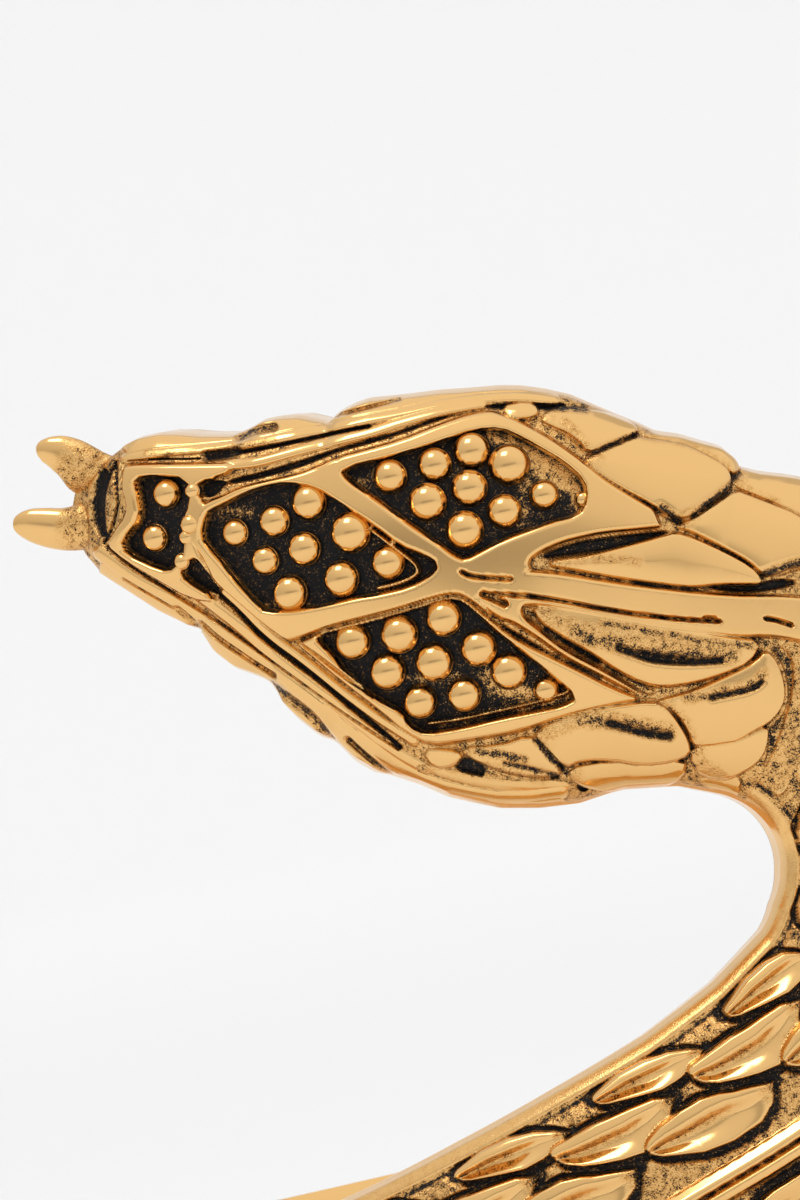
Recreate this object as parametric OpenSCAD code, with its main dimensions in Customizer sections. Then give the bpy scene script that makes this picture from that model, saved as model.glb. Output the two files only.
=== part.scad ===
// Snake cuff bracelet: an open coil of cast brass that stands on its lower rim around the wrist's axis, Z.
// The front is -Y. The head lies across the upper front and points left, its neck bends back below it,
// and the scaled band runs down to the left, round the back and out to a thin tail at the front right.

/* [Wrist opening] */
// Half width of the opening, side to side
opening_x = 30; // [29:0.5:31]
// Half depth of the opening, front to back
opening_y = 26; // [25.5:0.5:27]
// Distance of the side arcs' centres from the middle
side_centre = 8; // [7:0.5:9]

/* [Path of the body] */
// Fall of the head towards its neck, in degrees
head_tilt = 22.7; // [18:0.1:27]
// Distance from the snout to the knot of the head's frames
knot_from_snout = 15.6; // [15:0.1:16.5]
// Place of the knot, left of the middle
knot_left = 4.8; // [3:0.1:6]
// Length of the straight head and neck
straight_length = 29; // [28:0.1:30]
// Radius of the bend behind the neck
bend_radius = 10.5; // [10:0.1:12]
// Heading of the band where the bend ends, in degrees below level
slope_start = 28; // [25:0.5:32]
// Radius of the long slope across the front
slope_radius = 117; // [90:1:150]
// Heading where the slope starts to level out, in degrees below level
slope_end = 18; // [14:0.5:20]
// Radius of the curve that brings the band level
level_radius = 48; // [40:1:60]
// Length of the level band, round the back to the tip of the tail
level_length = 149; // [140:1:154]

/* [Body] */
// Half width of the band
band_half = 7.3; // [6.8:0.1:7.6]
// Half width at the back of the wrist
back_half = 6.8; // [6:0.1:7.3]
// Height of the band's crown over its inner face
band_crown = 3.5; // [3:0.1:4.2]
// Height of the band's edge over its inner face
band_edge = 1.3; // [1.1:0.1:1.8]
// Height of the rims over the band
rim_height = 0.35; // [0.2:0.05:0.5]
// Height of the double ridge over the band
ridge_height = 0.6; // [0.3:0.05:0.9]
// How far the snout lifts off the wrist
snout_lift = 3; // [1:0.1:4]

/* [Scales of the band] */
// Distance from scale to scale along a row
scale_pitch = 6.8; // [6:0.1:8]
// Length of a scale
scale_length = 5.2; // [4:0.1:6.4]
// Width of a scale
scale_width = 1.8; // [1.4:0.1:2.2]
// Height of a scale's tip over the band
scale_rise = 0.55; // [0.3:0.05:0.8]

/* [Frames and beads] */
// Height of the frame bars over the head
bar_height = 0.75; // [0.4:0.05:1]
// Height of the rails along the head
rail_height = 0.5; // [0.3:0.05:0.8]
// Sides of a bead
bead_sides = 10; // [10:1:12]

/* [Hidden] */

gold = [0.84, 0.68, 0.42];

// Oval of four arcs: the front and back arcs' centres follow from the side arcs'.
oval_difference = opening_x - opening_y;
front_centre = oval_difference * (2 * side_centre - oval_difference) / (2 * (side_centre - oval_difference));
front_radius = opening_y + front_centre;
side_radius = opening_x - side_centre;
corner_turn = atan2(side_centre, front_centre);

// Over the front, places are set out as they look from straight ahead. On the band, they are set out
// at its crown, and past this reach as lengths along its middle.
front_reach = 24;
reach_turn = asin(front_reach / (front_radius + band_crown));
middle_out = 2;
front_step = 180 / (PI * (front_radius + middle_out));
side_step = 180 / (PI * (side_radius + middle_out));
front_rest = (corner_turn - reach_turn) / front_step;
side_run = (180 - 2 * corner_turn) / side_step;
back_run = 2 * corner_turn / front_step;

// Path pieces from the snout: length, and radius of a bend to the right of its travel, 0 where straight.
bend_length = (180 - head_tilt - slope_start) * PI / 180 * bend_radius;
slope_length = (slope_start - slope_end) * PI / 180 * slope_radius;
levelling_length = slope_end * PI / 180 * level_radius;
path = [
    [straight_length, 0],
    [bend_length, bend_radius],
    [slope_length, slope_radius],
    [levelling_length, level_radius],
    [level_length, 0]
];
bend_end = straight_length + bend_length;
slope_stop = bend_end + slope_length;
level_from = slope_stop + levelling_length;
tail_tip = level_from + level_length;
tail_length = 34;
tail_from = tail_tip - tail_length;
back_from = level_from + 50;
scales_from = 31;
scales_to = tail_tip - 14;
scale_gap = 0.6;

// Sections of the body: distance from the snout, half width on the upper side of the head and on its
// lower side, height of the crown and of the edge.
sections = [
    [-0.45, 1.3, 1.3, 2.0, 1.5],
    [0, 2.2, 2.2, 2.7, 1.6],
    [0.8, 3.0, 2.9, 3.3, 1.8],
    [2, 3.6, 3.5, 3.8, 2.0],
    [3.7, 3.9, 4.0, 4.3, 2.2],
    [5.3, 4.2, 4.4, 4.7, 2.3],
    [6.4, 5.1, 5.4, 5.0, 2.4],
    [8.4, 5.6, 6.1, 5.3, 2.4],
    [9.5, 5.8, 7.0, 5.5, 2.4],
    [10.6, 6.7, 7.7, 5.7, 2.4],
    [12.5, 7.4, 8.4, 5.9, 2.4],
    [14.5, 8.0, 9.0, 6.0, 2.4],
    [17, 8.5, 9.5, 6.0, 2.4],
    [19.5, 8.4, 9.6, 5.9, 2.3],
    [22.5, 7.9, 8.9, 5.5, 2.1],
    [25, 7.8, 7.9, 5.0, 1.9],
    [27.5, 7.3, 7.2, 4.6, 1.7],
    [31, band_half, band_half, 4.1, 1.5],
    [bend_end, band_half, band_half, band_crown, band_edge],
    [level_from, band_half, band_half, band_crown, band_edge],
    [back_from, back_half, back_half, band_crown, band_edge],
    [tail_from, back_half - 0.4, back_half - 0.4, band_crown - 0.1, band_edge],
    [tail_from + 5, 5.8, 5.8, 3.3, 1.3],
    [tail_from + 10, 5.0, 5.0, 3.1, 1.3],
    [tail_from + 15, 4.1, 4.1, 2.9, 1.3],
    [tail_from + 20, 3.2, 3.2, 2.7, 1.3],
    [tail_from + 25, 2.3, 2.3, 2.5, 1.3],
    [tail_from + 30, 1.4, 1.4, 2.2, 1.2],
    [tail_tip, 0.7, 0.7, 1.7, 1.1]
];
function column(table, c) = [for (row = table) [row[0], row[c]]];
upper_halves = column(sections, 1);
lower_halves = column(sections, 2);
crowns = column(sections, 3);
edges = column(sections, 4);

// Share of the rims and of the double ridge along the body.
rim_share = [[26, 0], [31, 1], [tail_from, 1], [tail_from + 20, 0.3], [tail_tip, 0]];
ridge_share = [[15, 0], [20, 1], [tail_from + 10, 1], [tail_tip, 0]];

// Across a half section: share of the half width against the height of the ridge, and of the rim.
ridge_across = [[0, 0.3], [0.05, 1], [0.11, 1], [0.16, 0]];
rim_across = [[0.9, 0], [0.95, 1], [1, 0.6]];
across = [1, 0.95, 0.9, 0.655, 0.41, 0.16, 0.11, 0.05];
dome_power = 2.4;
foot_height = 0.4;
inner_across = [-0.94, -0.5, 0, 0.5, 0.94];

// Path state: x, z and heading in degrees, after a length of one piece.
function advance(s, len, r) = r == 0
    ? [s.x + len * cos(s[2]), s.y + len * sin(s[2]), s[2]]
    : let (h = s[2] - len / r * 180 / PI)
      [s.x + r * (sin(s[2]) - sin(h)), s.y + r * (cos(h) - cos(s[2])), h];
function walk(u, s, k = 0) = k == len(path) - 1 || u <= path[k][0]
    ? advance(s, u, path[k][1])
    : walk(u - path[k][0], advance(s, path[k][0], path[k][1]), k + 1);

// The head's height is what lets the level band stand on its lower rim.
snout_x = -knot_left - knot_from_snout * cos(head_tilt);
snout_z = band_half - walk(tail_tip, [0, 0, -head_tilt]).y;
function path_at(u) = walk(u, [snout_x, snout_z, -head_tilt]);

// Turn from the front for a place across, with the sign of x.
function turn_past(s) = s < front_rest ? reach_turn + s * front_step
    : s < front_rest + side_run ? corner_turn + (s - front_rest) * side_step
    : s < front_rest + side_run + back_run
        ? 180 - corner_turn + (s - front_rest - side_run) * front_step
    : s < front_rest + 2 * side_run + back_run
        ? 180 + corner_turn + (s - front_rest - side_run - back_run) * side_step
    : 360 - corner_turn + (s - front_rest - 2 * side_run - back_run) * front_step;
function turn_at(x, out) = abs(x) <= front_reach
    ? asin(x / (front_radius + out))
    : sign(x) * turn_past(abs(x) - front_reach);

// Point at a turn from the front, a distance out from the oval and a height.
function out_from(turn, out, z) =
    let (t = (turn + 900) % 360 - 180,
         ends = abs(t) < corner_turn || abs(t) > 180 - corner_turn,
         c = ends ? [0, abs(t) < 90 ? front_centre : -front_centre] : [sign(t) * side_centre, 0],
         r = (ends ? front_radius : side_radius) + out)
    [c.x + r * sin(t), c.y - r * cos(t), z];

// Point of the body: distance from the snout, distance across and height over the inner face.
lift_length = 17;
function lift_at(u) = u > lift_length ? 0 : snout_lift * pow((lift_length - u) / lift_length, 2);
function settle_at(u) = u < level_from ? 0 : band_half - lookup(u, upper_halves);
function view_out(u, v) = let (k = lookup(u, [[slope_stop, 0], [level_from, 1]]))
    (1 - k) * surface_at(u, v) + k * band_crown;
function turn_of(u, v) = let (s = path_at(u)) turn_at(s.x - v * sin(s[2]), view_out(u, v) + lift_at(u));
function place(u, v, out) =
    let (s = path_at(u))
    out_from(turn_of(u, v), out + lift_at(u), s.y + v * cos(s[2]) - settle_at(u));

// Height of the outer face over the inner one.
function half_at(u, v) = lookup(u, v > 0 ? upper_halves : lower_halves);
function dome_at(u, f) = let (e = lookup(u, edges))
    e + (lookup(u, crowns) - e) * sqrt(max(0, 1 - pow(f, dome_power)));
function relief_at(u, f) = rim_height * lookup(u, rim_share) * lookup(f, rim_across)
    + ridge_height * lookup(u, ridge_share) * lookup(f, ridge_across);
function surface_at(u, v) = dome_at(u, min(1, abs(v) / half_at(u, v)));

// One closed section, clockwise from the upper edge over the crown and back along the inner face.
function section(u) =
    let (a = lookup(u, upper_halves), b = lookup(u, lower_halves))
    concat(
        [for (f = across) place(u, f * a, dome_at(u, f) + relief_at(u, f))],
        [place(u, 0, dome_at(u, 0) + relief_at(u, 0))],
        [for (i = [len(across) - 1:-1:0]) let (f = across[i]) place(u, -f * b, dome_at(u, f) + relief_at(u, f))],
        [place(u, -b, foot_height)],
        [for (f = inner_across) place(u, f * (f < 0 ? b : a), 0)],
        [place(u, a, foot_height)]
    );

// Stations along the body: the sections' own on the head and tail, thirds of a pitch round the bend and
// a pitch on the band, so that each outer scale lies between two of them.
bend_pitches = ceil((bend_end - scales_from) / scale_pitch);
band_pitches = floor((tail_from - scales_from) / scale_pitch) - bend_pitches;
stations = concat(
    [for (row = sections) if (row[0] < straight_length) row[0]],
    [for (i = [0:3 * bend_pitches - 1]) scales_from - scale_gap + i * scale_pitch / 3],
    [for (i = [0:band_pitches]) scales_from - scale_gap + (bend_pitches + i) * scale_pitch],
    [for (row = sections) if (row[0] >= tail_from) row[0]]
);

// Solid through closed sections of equal count, with flat ends.
module sweep(rings) {
    n = len(rings[0]);
    m = len(rings);
    polyhedron(
        points = [for (ring = rings) each ring],
        faces = concat(
            [[for (i = [0:n - 1]) i]],
            [for (k = [0:m - 2], i = [0:n - 1])
                [k * n + i, (k + 1) * n + i, (k + 1) * n + (i + 1) % n, k * n + (i + 1) % n]],
            [[for (i = [n - 1:-1:0]) (m - 1) * n + i]]
        ),
        convexity = 10
    );
}

module body() {
    sweep([for (u = stations) section(u)]);
}

// Ornament of the head is set out in its own plan: right and up from the knot, with the body's axis
// falling through it by this angle.
plan_fall = 10.7;
function on_body(p) = [
    knot_from_snout + p.x * cos(plan_fall) - p.y * sin(plan_fall),
    p.x * sin(plan_fall) + p.y * cos(plan_fall)
];
function over_head(p, rise) = let (q = on_body(p)) place(q.x, q.y, surface_at(q.x, q.y) + rise);

// Bar of trapezoid section along points of the plan.
bar_sink = 0.7;
bar_taper = 0.5;
module bar(points, width, rise) {
    last = len(points) - 1;
    sweep([for (i = [0:last])
        let (d = points[min(i + 1, last)] - points[max(i - 1, 0)],
             n = [-d.y, d.x] / norm(d) * width / 2,
             p = points[i])
        [
            over_head(p + n, -bar_sink),
            over_head(p + n * bar_taper, rise),
            over_head(p - n * bar_taper, rise),
            over_head(p - n, -bar_sink)
        ]
    ]);
}

// Frame bars: width, then points of the plan.
frame_bars = [
    [1.0, [[-5.0, 4.2], [-3.3, 2.8], [-1.3, 1.4], [0.2, 0]]],
    [0.9, [[-10.7, 2.4], [-8.7, 3.6], [-6.5, 4.3], [-4.6, 4.9]]],
    [0.9, [[-10.8, 2.7], [-10.5, 1.4], [-9.6, -0.2], [-8.5, -1.3], [-6.9, -2.4]]],
    [1.1, [[-7.4, -2.2], [-5.2, -1.7], [-3.5, -1.3], [-1.7, -0.8], [0.3, -0.1]]],
    [0.9, [[-5.0, 4.7], [-2.2, 5.7], [0.2, 6.3], [2.0, 6.7], [3.6, 6.0], [5.2, 4.9], [7.0, 3.5], [8.8, 2.2]]],
    [0.9, [[-0.2, 0.1], [2.2, 1.0], [4.1, 1.6], [6.1, 2.1], [8.6, 2.3]]],
    [0.9, [[-6.9, -2.2], [-6.0, -3.2], [-4.6, -4.3], [-2.8, -5.7], [-0.7, -7.2]]],
    [0.8, [[-1.2, -7.0], [1.3, -6.9], [3.5, -6.3], [5.7, -5.8], [8.4, -5.4]]],
    [0.9, [[-0.2, -0.1], [1.7, -2.0], [3.7, -3.6], [6.1, -4.8], [8.4, -5.5]]],
    [0.7, [[-14.0, 4.4], [-12.2, 4.5], [-10.5, 4.0]]],
    [0.7, [[-13.8, 4.5], [-13.6, 2.8], [-14.4, 1.5], [-14.4, 1.0]]],
    [0.7, [[-14.4, 1.2], [-12.8, 0.1], [-11.2, -0.8], [-9.9, -1.7]]]
];

// Rails along the edges of the head: width, then points of the plan.
rail_bars = [
    [0.7, [[-14.0, 5.0], [-10.9, 5.2], [-8.3, 5.6], [-5.2, 6.2], [-2.2, 6.9], [1.3, 7.6], [4.0, 7.4]]],
    [0.8, [[-14.9, 0.6], [-13.0, -0.6], [-10.9, -2.0], [-9.1, -3.3], [-7.4, -4.7], [-5.7, -6.0],
        [-3.9, -7.4], [-2.0, -8.7], [0.2, -9.5], [2.4, -9.6]]]
];

module frames() {
    for (row = frame_bars)
        bar(row[1], row[0], bar_height);
    for (row = rail_bars)
        bar(row[1], row[0], rail_height);
}

// Beads of the four cells: right and up from the knot, and radius.
beads = [
    [-12.3, 3.4, 0.6], [-12.8, 1.5, 0.57],
    [-9.3, 1.7, 0.57], [-7.6, 2.2, 0.65], [-6.1, 3.0, 0.74], [-8.0, 0.5, 0.6], [-6.3, 1.0, 0.7],
    [-6.9, -0.9, 0.74], [-4.7, -0.3, 0.74], [-4.3, 1.7, 0.83], [-2.7, 0.4, 0.7],
    [-2.6, 4.1, 0.7], [-0.7, 4.6, 0.7], [0.9, 5.2, 0.74], [0.8, 3.6, 0.74], [-1.0, 3.0, 0.78],
    [0.6, 1.8, 0.78], [2.3, 2.6, 0.7], [2.5, 4.6, 0.83], [4.0, 3.3, 0.6],
    [-4.2, -3.0, 0.74], [-2.2, -2.7, 0.78], [-0.3, -2.0, 0.74], [1.2, -3.3, 0.74], [-0.7, -3.9, 0.78],
    [-2.7, -4.3, 0.74], [-1.3, -5.6, 0.7], [0.6, -5.3, 0.7], [2.5, -4.3, 0.74], [4.1, -5.1, 0.52]
];
stud_sink = 0.5;

module bead_field() {
    for (b = beads)
        let (q = on_body(b))
        translate(over_head(b, 0)) rotate([90, 0, turn_of(q.x, q.y)]) stud(b[2]);
}

// Round stud on +Z, with a dome of two steps.
module stud(r) {
    rotate_extrude($fn = bead_sides)
        polygon([[0, -stud_sink], [r, -stud_sink], [0.86 * r, 0.55 * r], [0, 1.05 * r]]);
}

// Leaf-shaped scale, a low pyramid whose corners lie under the surface: its root along the body, its
// middle across, its length, width and rise. Its peak stands near its tip.
corner_sink = 0.12;
keel_sink = 1;
peak_share = 0.8;
widest_share = 0.5;
module scale_plate(u, v, length, width, rise) {
    function at(du, dv, out) = place(u + du, v + dv, surface_at(u + du, v + dv) + out);
    polyhedron(
        points = [
            at(0, 0, -corner_sink),
            at(widest_share * length, width / 2, -corner_sink),
            at(length, 0, -corner_sink),
            at(widest_share * length, -width / 2, -corner_sink),
            at(peak_share * length, 0, rise),
            at(widest_share * length, 0, -keel_sink)
        ],
        faces = [[0, 1, 4], [1, 2, 4], [2, 3, 4], [3, 0, 4], [1, 0, 5], [2, 1, 5], [3, 2, 5], [0, 3, 5]],
        convexity = 3
    );
}

// Large scales of the neck: root along the body, middle across, length, width and rise.
neck_scales = [
    [18.4, 7.1, 4.2, 1.4, 0.4],
    [20.4, 5.8, 6.6, 2.8, 0.5],
    [22.8, 7.1, 4.6, 1.2, 0.4],
    [26.6, 5.9, 5.4, 2.2, 0.5],
    [24.4, 3.7, 6.0, 3.0, 0.5],
    [19.5, 1.9, 9.0, 1.8, 0.5],
    [18.8, -2.0, 10.0, 2.2, 0.6],
    [25.0, -3.6, 6.0, 3.0, 0.6],
    [20.2, -6.2, 6.8, 2.4, 0.6],
    [26.8, -5.7, 4.8, 1.8, 0.5],
    [16.6, -8.1, 5.0, 1.2, 0.4]
];

// Rows of the band's scales: share of the half width, and start in pitches.
scale_rows = [[0.78, 0], [0.53, 0.5], [0.29, 0]];

module scales() {
    for (row = neck_scales)
        scale_plate(row[0], row[1], row[2], row[3], row[4]);
    for (row = scale_rows, side = [-1, 1])
        for (u = [scales_from + row[1] * scale_pitch:scale_pitch:scales_to])
            let (half = half_at(u + scale_length / 2, side), k = half / band_half)
            scale_plate(u, side * row[0] * half, scale_length, scale_width * k, scale_rise * k);
}

// Forked tongue: points of the plan, height over the inner face and radius.
tongue_height = 1.9;
tongue_prongs = [
    [[-17.5, 5.2, 0.45], [-16.9, 5.2, 0.58], [-16.0, 4.7, 0.6], [-15.4, 4.0, 0.65], [-14.6, 3.0, 0.9]],
    [[-18.5, 2.2, 0.45], [-17.9, 2.1, 0.72], [-17.0, 2.0, 0.85], [-15.8, 2.1, 0.9], [-14.6, 2.6, 0.9]]
];

module tongue() {
    for (prong = tongue_prongs)
        for (i = [1:len(prong) - 1])
            hull()
                for (p = [prong[i - 1], prong[i]])
                    let (q = on_body(p)) translate(place(q.x, q.y, tongue_height)) sphere(p[2], $fn = bead_sides);
}

module snake_cuff() {
    color(gold)
        union() {
            body();
            frames();
            bead_field();
            scales();
            tongue();
        }
}

snake_cuff();
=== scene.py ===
import math
import bpy
import numpy as np
from mathutils import Matrix, Vector


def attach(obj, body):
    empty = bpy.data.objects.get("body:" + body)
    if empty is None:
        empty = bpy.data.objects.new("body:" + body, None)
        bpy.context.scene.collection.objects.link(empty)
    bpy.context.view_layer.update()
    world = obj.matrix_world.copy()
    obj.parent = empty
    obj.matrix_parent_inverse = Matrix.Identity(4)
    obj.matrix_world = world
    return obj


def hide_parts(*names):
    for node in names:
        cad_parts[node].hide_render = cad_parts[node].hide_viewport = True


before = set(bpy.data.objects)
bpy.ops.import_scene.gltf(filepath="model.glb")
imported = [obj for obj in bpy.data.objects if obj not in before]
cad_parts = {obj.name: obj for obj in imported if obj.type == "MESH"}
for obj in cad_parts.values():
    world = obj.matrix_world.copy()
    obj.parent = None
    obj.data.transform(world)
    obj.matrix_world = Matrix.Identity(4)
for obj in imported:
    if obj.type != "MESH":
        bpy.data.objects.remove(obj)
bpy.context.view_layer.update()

millimetre = 0.001
degree = math.pi / 180

# Snake cuff bracelet, cast in brass and gilt, standing on its lower rim around Z.
# Lengths are millimetres until the points go into a mesh.
cuff = {
    "openingX": 30.0,        # half width of the wrist opening
    "openingY": 26.0,        # half depth of it
    "sideCentre": 8.0,       # the side arcs' centres, from the middle
    "headTilt": 22.7,        # fall of the head towards its neck, degrees
    "knotFromSnout": 15.6,   # snout to the knot of the frames
    "knotLeft": 4.8,         # knot, left of the middle
    "straightLength": 29.0,  # head and neck
    "bendRadius": 10.5,
    "slopeStart": 28.0,      # fall of the slope where it leaves the bend, degrees
    "slopeRadius": 117.0,
    "slopeEnd": 18.0,        # its fall where it starts to level out
    "levelRadius": 48.0,
    "levelLength": 149.0,    # round the wrist to the tip of the tail
    "bandHalf": 7.3,         # half width of the band
    "backHalf": 6.8,         # the same 50 mm along the level band
    "bandCrown": 3.5,        # crown of the band over its inner face
    "bandEdge": 1.3,         # its edge over the inner face
    "frontReach": 24.0,      # places across are seen from straight ahead up to here
    "middleOut": 2.0,        # lengths round the wrist are measured this far out
    "snoutLift": 3.0,        # the snout stands out this much more
    "liftLength": 17.0,      # and the lift ends this far behind it
    "domePower": 2.4,        # a higher power gives a flatter crown
    "footHeight": 0.4,       # rounding of the inner face's edges
    "tailLength": 34.0,
    "tailHalf": 6.4,         # half width where the tail starts
}

ovalDifference = cuff["openingX"] - cuff["openingY"]
frontCentre = (ovalDifference * (2 * cuff["sideCentre"] - ovalDifference)
               / (2 * (cuff["sideCentre"] - ovalDifference)))
frontRadius = cuff["openingY"] + frontCentre
sideRadius = cuff["openingX"] - cuff["sideCentre"]
cornerTurn = math.atan2(cuff["sideCentre"], frontCentre)
reachTurn = math.asin(cuff["frontReach"] / (frontRadius + cuff["bandCrown"]))
frontRest = (cornerTurn - reachTurn) * (frontRadius + cuff["middleOut"])
sideRun = (math.pi - 2 * cornerTurn) * (sideRadius + cuff["middleOut"])
backRun = 2 * cornerTurn * (frontRadius + cuff["middleOut"])

bendLength = (180 - cuff["headTilt"] - cuff["slopeStart"]) * degree * cuff["bendRadius"]
slopeLength = (cuff["slopeStart"] - cuff["slopeEnd"]) * degree * cuff["slopeRadius"]
levellingLength = cuff["slopeEnd"] * degree * cuff["levelRadius"]
pathPieces = [
    (cuff["straightLength"], 0.0),
    (bendLength, cuff["bendRadius"]),
    (slopeLength, cuff["slopeRadius"]),
    (levellingLength, cuff["levelRadius"]),
    (cuff["levelLength"], 0.0),
]
bendEnd = cuff["straightLength"] + bendLength
slopeStop = bendEnd + slopeLength
levelFrom = slopeStop + levellingLength
tailTip = levelFrom + cuff["levelLength"]
tailFrom = tailTip - cuff["tailLength"]


# Straight pieces add the length along the heading, round ones turn it by length over radius.
def walkPath(u, startX, startZ):
    x = np.zeros(u.shape)
    z = np.zeros(u.shape)
    heading = np.zeros(u.shape)
    atX, atZ, at, begin = startX, startZ, -cuff["headTilt"] * degree, 0.0
    for number, (length, radius) in enumerate(pathPieces):
        here = (u >= begin) if number else np.ones(u.shape, bool)
        run = u - begin
        if radius:
            turned = at - run / radius
            stepX = atX + radius * (math.sin(at) - np.sin(turned))
            stepZ = atZ + radius * (np.cos(turned) - math.cos(at))
            nextAt = at - length / radius
            nextX = atX + radius * (math.sin(at) - math.sin(nextAt))
            nextZ = atZ + radius * (math.cos(nextAt) - math.cos(at))
        else:
            turned = np.full(u.shape, at)
            stepX = atX + run * math.cos(at)
            stepZ = atZ + run * math.sin(at)
            nextAt, nextX, nextZ = at, atX + length * math.cos(at), atZ + length * math.sin(at)
        x = np.where(here, stepX, x)
        z = np.where(here, stepZ, z)
        heading = np.where(here, turned, heading)
        atX, atZ, at, begin = nextX, nextZ, nextAt, begin + length
    return x, z, heading


snoutX = -cuff["knotLeft"] - cuff["knotFromSnout"] * math.cos(cuff["headTilt"] * degree)
snoutZ = cuff["bandHalf"] - walkPath(np.array([tailTip]), 0.0, 0.0)[1][0]


# A table of rows with straight lines between them, averaged over a bell of the given width.
def softTable(rows, softness):
    step = 0.05
    places = np.arange(-4.0, tailTip + 4.0, step)
    values = np.interp(places, [row[0] for row in rows], [row[1] for row in rows])
    reach = int(4 * softness / step) + 1
    bell = np.exp(-0.5 * (np.arange(-reach, reach + 1) * step / softness) ** 2)
    padded = np.pad(values, reach, mode="edge")
    smooth = np.convolve(padded, bell / bell.sum(), mode="valid")
    return lambda u: np.interp(u, places, smooth)


# Outline of the body: distance from the snout, and half width on each side of the path. The level
# band and the tail are the same on both sides.
backOutline = [
    (levelFrom, cuff["bandHalf"]), (levelFrom + 50, cuff["backHalf"]), (tailFrom, cuff["tailHalf"]),
    (tailFrom + 5, 5.8), (tailFrom + 10, 5.0), (tailFrom + 15, 4.1), (tailFrom + 20, 3.2),
    (tailFrom + 25, 2.3), (tailFrom + 30, 1.4), (tailTip - 0.8, 0.8), (tailTip - 0.3, 0.6),
    (tailTip, 0.2),
]
upperOutline = [
    (-1.1, 0.3), (-1.0, 0.75), (-0.8, 1.1), (-0.45, 1.5), (-0.3, 1.9), (0.1, 2.34), (0.7, 3.03),
    (1.2, 3.43), (2.03, 3.77), (2.9, 3.93), (3.75, 4.01), (5.25, 4.29), (5.84, 4.66),
    (6.41, 5.17), (7.02, 5.42), (7.87, 5.63), (8.53, 5.62), (9.2, 5.61), (9.55, 6.12),
    (10.12, 6.58), (10.72, 6.92), (11.56, 7.16), (12.4, 7.41), (13.65, 7.82), (14.49, 8.03),
    (16.19, 8.5), (17.04, 8.65), (18.14, 8.71), (19.27, 8.67), (20.19, 8.47), (21.11, 8.27),
    (22.48, 8.0), (23.16, 7.82), (24.26, 7.88), (25.16, 7.79), (26.06, 7.73), (26.71, 7.4),
    (27.01, 7.0), (27.99, 6.95), (29.8, 7.1), (31.0, cuff["bandHalf"]), (bendEnd, cuff["bandHalf"]),
] + backOutline
lowerOutline = [
    (-1.1, 0.3), (-1.0, 0.8), (-0.8, 1.2), (-0.45, 1.6), (-0.2, 2.1), (0.17, 2.38), (0.6, 2.74),
    (1.32, 3.05), (2.05, 3.35), (3.49, 3.96), (4.89, 4.36), (5.34, 4.41), (5.61, 4.6),
    (6.2, 5.28), (7.17, 5.8), (8.31, 5.98), (8.75, 6.1), (9.6, 7.01), (10.36, 7.53),
    (11.33, 8.02), (12.01, 8.1), (12.27, 8.28), (13.03, 8.8), (13.97, 9.12), (14.6, 9.1),
    (15.97, 9.27), (17.37, 9.58), (18.71, 9.62), (19.61, 9.64), (21.31, 9.31), (22.98, 8.78),
    (24.2, 8.1), (24.81, 7.82), (26.5, 7.4), (27.09, 7.25), (28.43, 7.25), (31.0, cuff["bandHalf"]),
    (44.0, 7.35), (49.0, 7.25), (52.5, 6.9), (56.0, 6.5), (60.0, 6.5), (65.0, 6.85), (70.0, 7.1),
    (76.0, cuff["bandHalf"]),
] + backOutline
# Height of the crown and of the edge over the inner face.
crownRows = [
    (-1.1, 1.2), (-0.8, 1.7), (-0.45, 2.0), (0, 2.7), (0.8, 3.3), (2, 3.8), (3.7, 4.3), (5.3, 4.7),
    (6.4, 5.0), (8.4, 5.3), (9.5, 5.5), (10.6, 5.7), (12.5, 5.9), (14.5, 6.0), (17, 6.0),
    (19.5, 5.9), (22.5, 5.5), (25, 5.0), (27.5, 4.6), (31, 4.1), (bendEnd, cuff["bandCrown"]),
    (tailFrom, 3.4), (tailFrom + 5, 3.3), (tailFrom + 15, 2.9), (tailFrom + 25, 2.5),
    (tailFrom + 30, 2.2), (tailTip, 1.7),
]
edgeRows = [
    (-0.45, 1.5), (0, 1.6), (2, 2.0), (5.3, 2.3), (8, 2.4), (17, 2.4), (22.5, 2.1), (27.5, 1.7),
    (31, 1.5), (bendEnd, cuff["bandEdge"]), (tailFrom + 25, cuff["bandEdge"]), (tailTip, 1.1),
]
upperHalf = softTable(upperOutline, 0.1)
lowerHalf = softTable(lowerOutline, 0.1)
crownHeight = softTable(crownRows, 0.7)
edgeHeight = softTable(edgeRows, 0.7)
# How much of the rim and the ridge there is, and how far the ridge lies off the path.
rimShare = softTable([(26, 0), (31, 1), (tailFrom, 1), (tailFrom + 20, 0.3), (tailTip, 0)], 0.8)
ridgeShare = softTable([(27, 0), (31, 1), (tailFrom + 10, 1), (tailTip, 0)], 0.8)
ridgeCentre = softTable([(15, 0), (19.6, 0.25), (24, 0.6), (31, 1.0), (50, 1.5), (57, 1.15),
                         (62, 0.65), (70, 0.2), (80, 0)], 1.5)


# Dome: the edge height plus the rise to the crown times the root of one less the share to a power.
def domeHeight(u, share):
    low = edgeHeight(u)
    return low + (crownHeight(u) - low) * np.sqrt(np.maximum(0.0, 1 - share ** cuff["domePower"]))


# Half width on the side of the path where the place lies.
def halfWidth(u, v):
    return np.where(v > 0, upperHalf(u), lowerHalf(u))


# Height of the dome at a place, its share across being the distance over the half width.
def surfaceHeight(u, v):
    return domeHeight(u, np.minimum(1.0, np.abs(v) / halfWidth(u, v)))


# Lift of the snout: the square of what share of the lift's length is left, times the lift.
def liftHeight(u):
    rest = np.maximum(0.0, cuff["liftLength"] - u) / cuff["liftLength"]
    return cuff["snoutLift"] * rest ** 2


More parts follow.
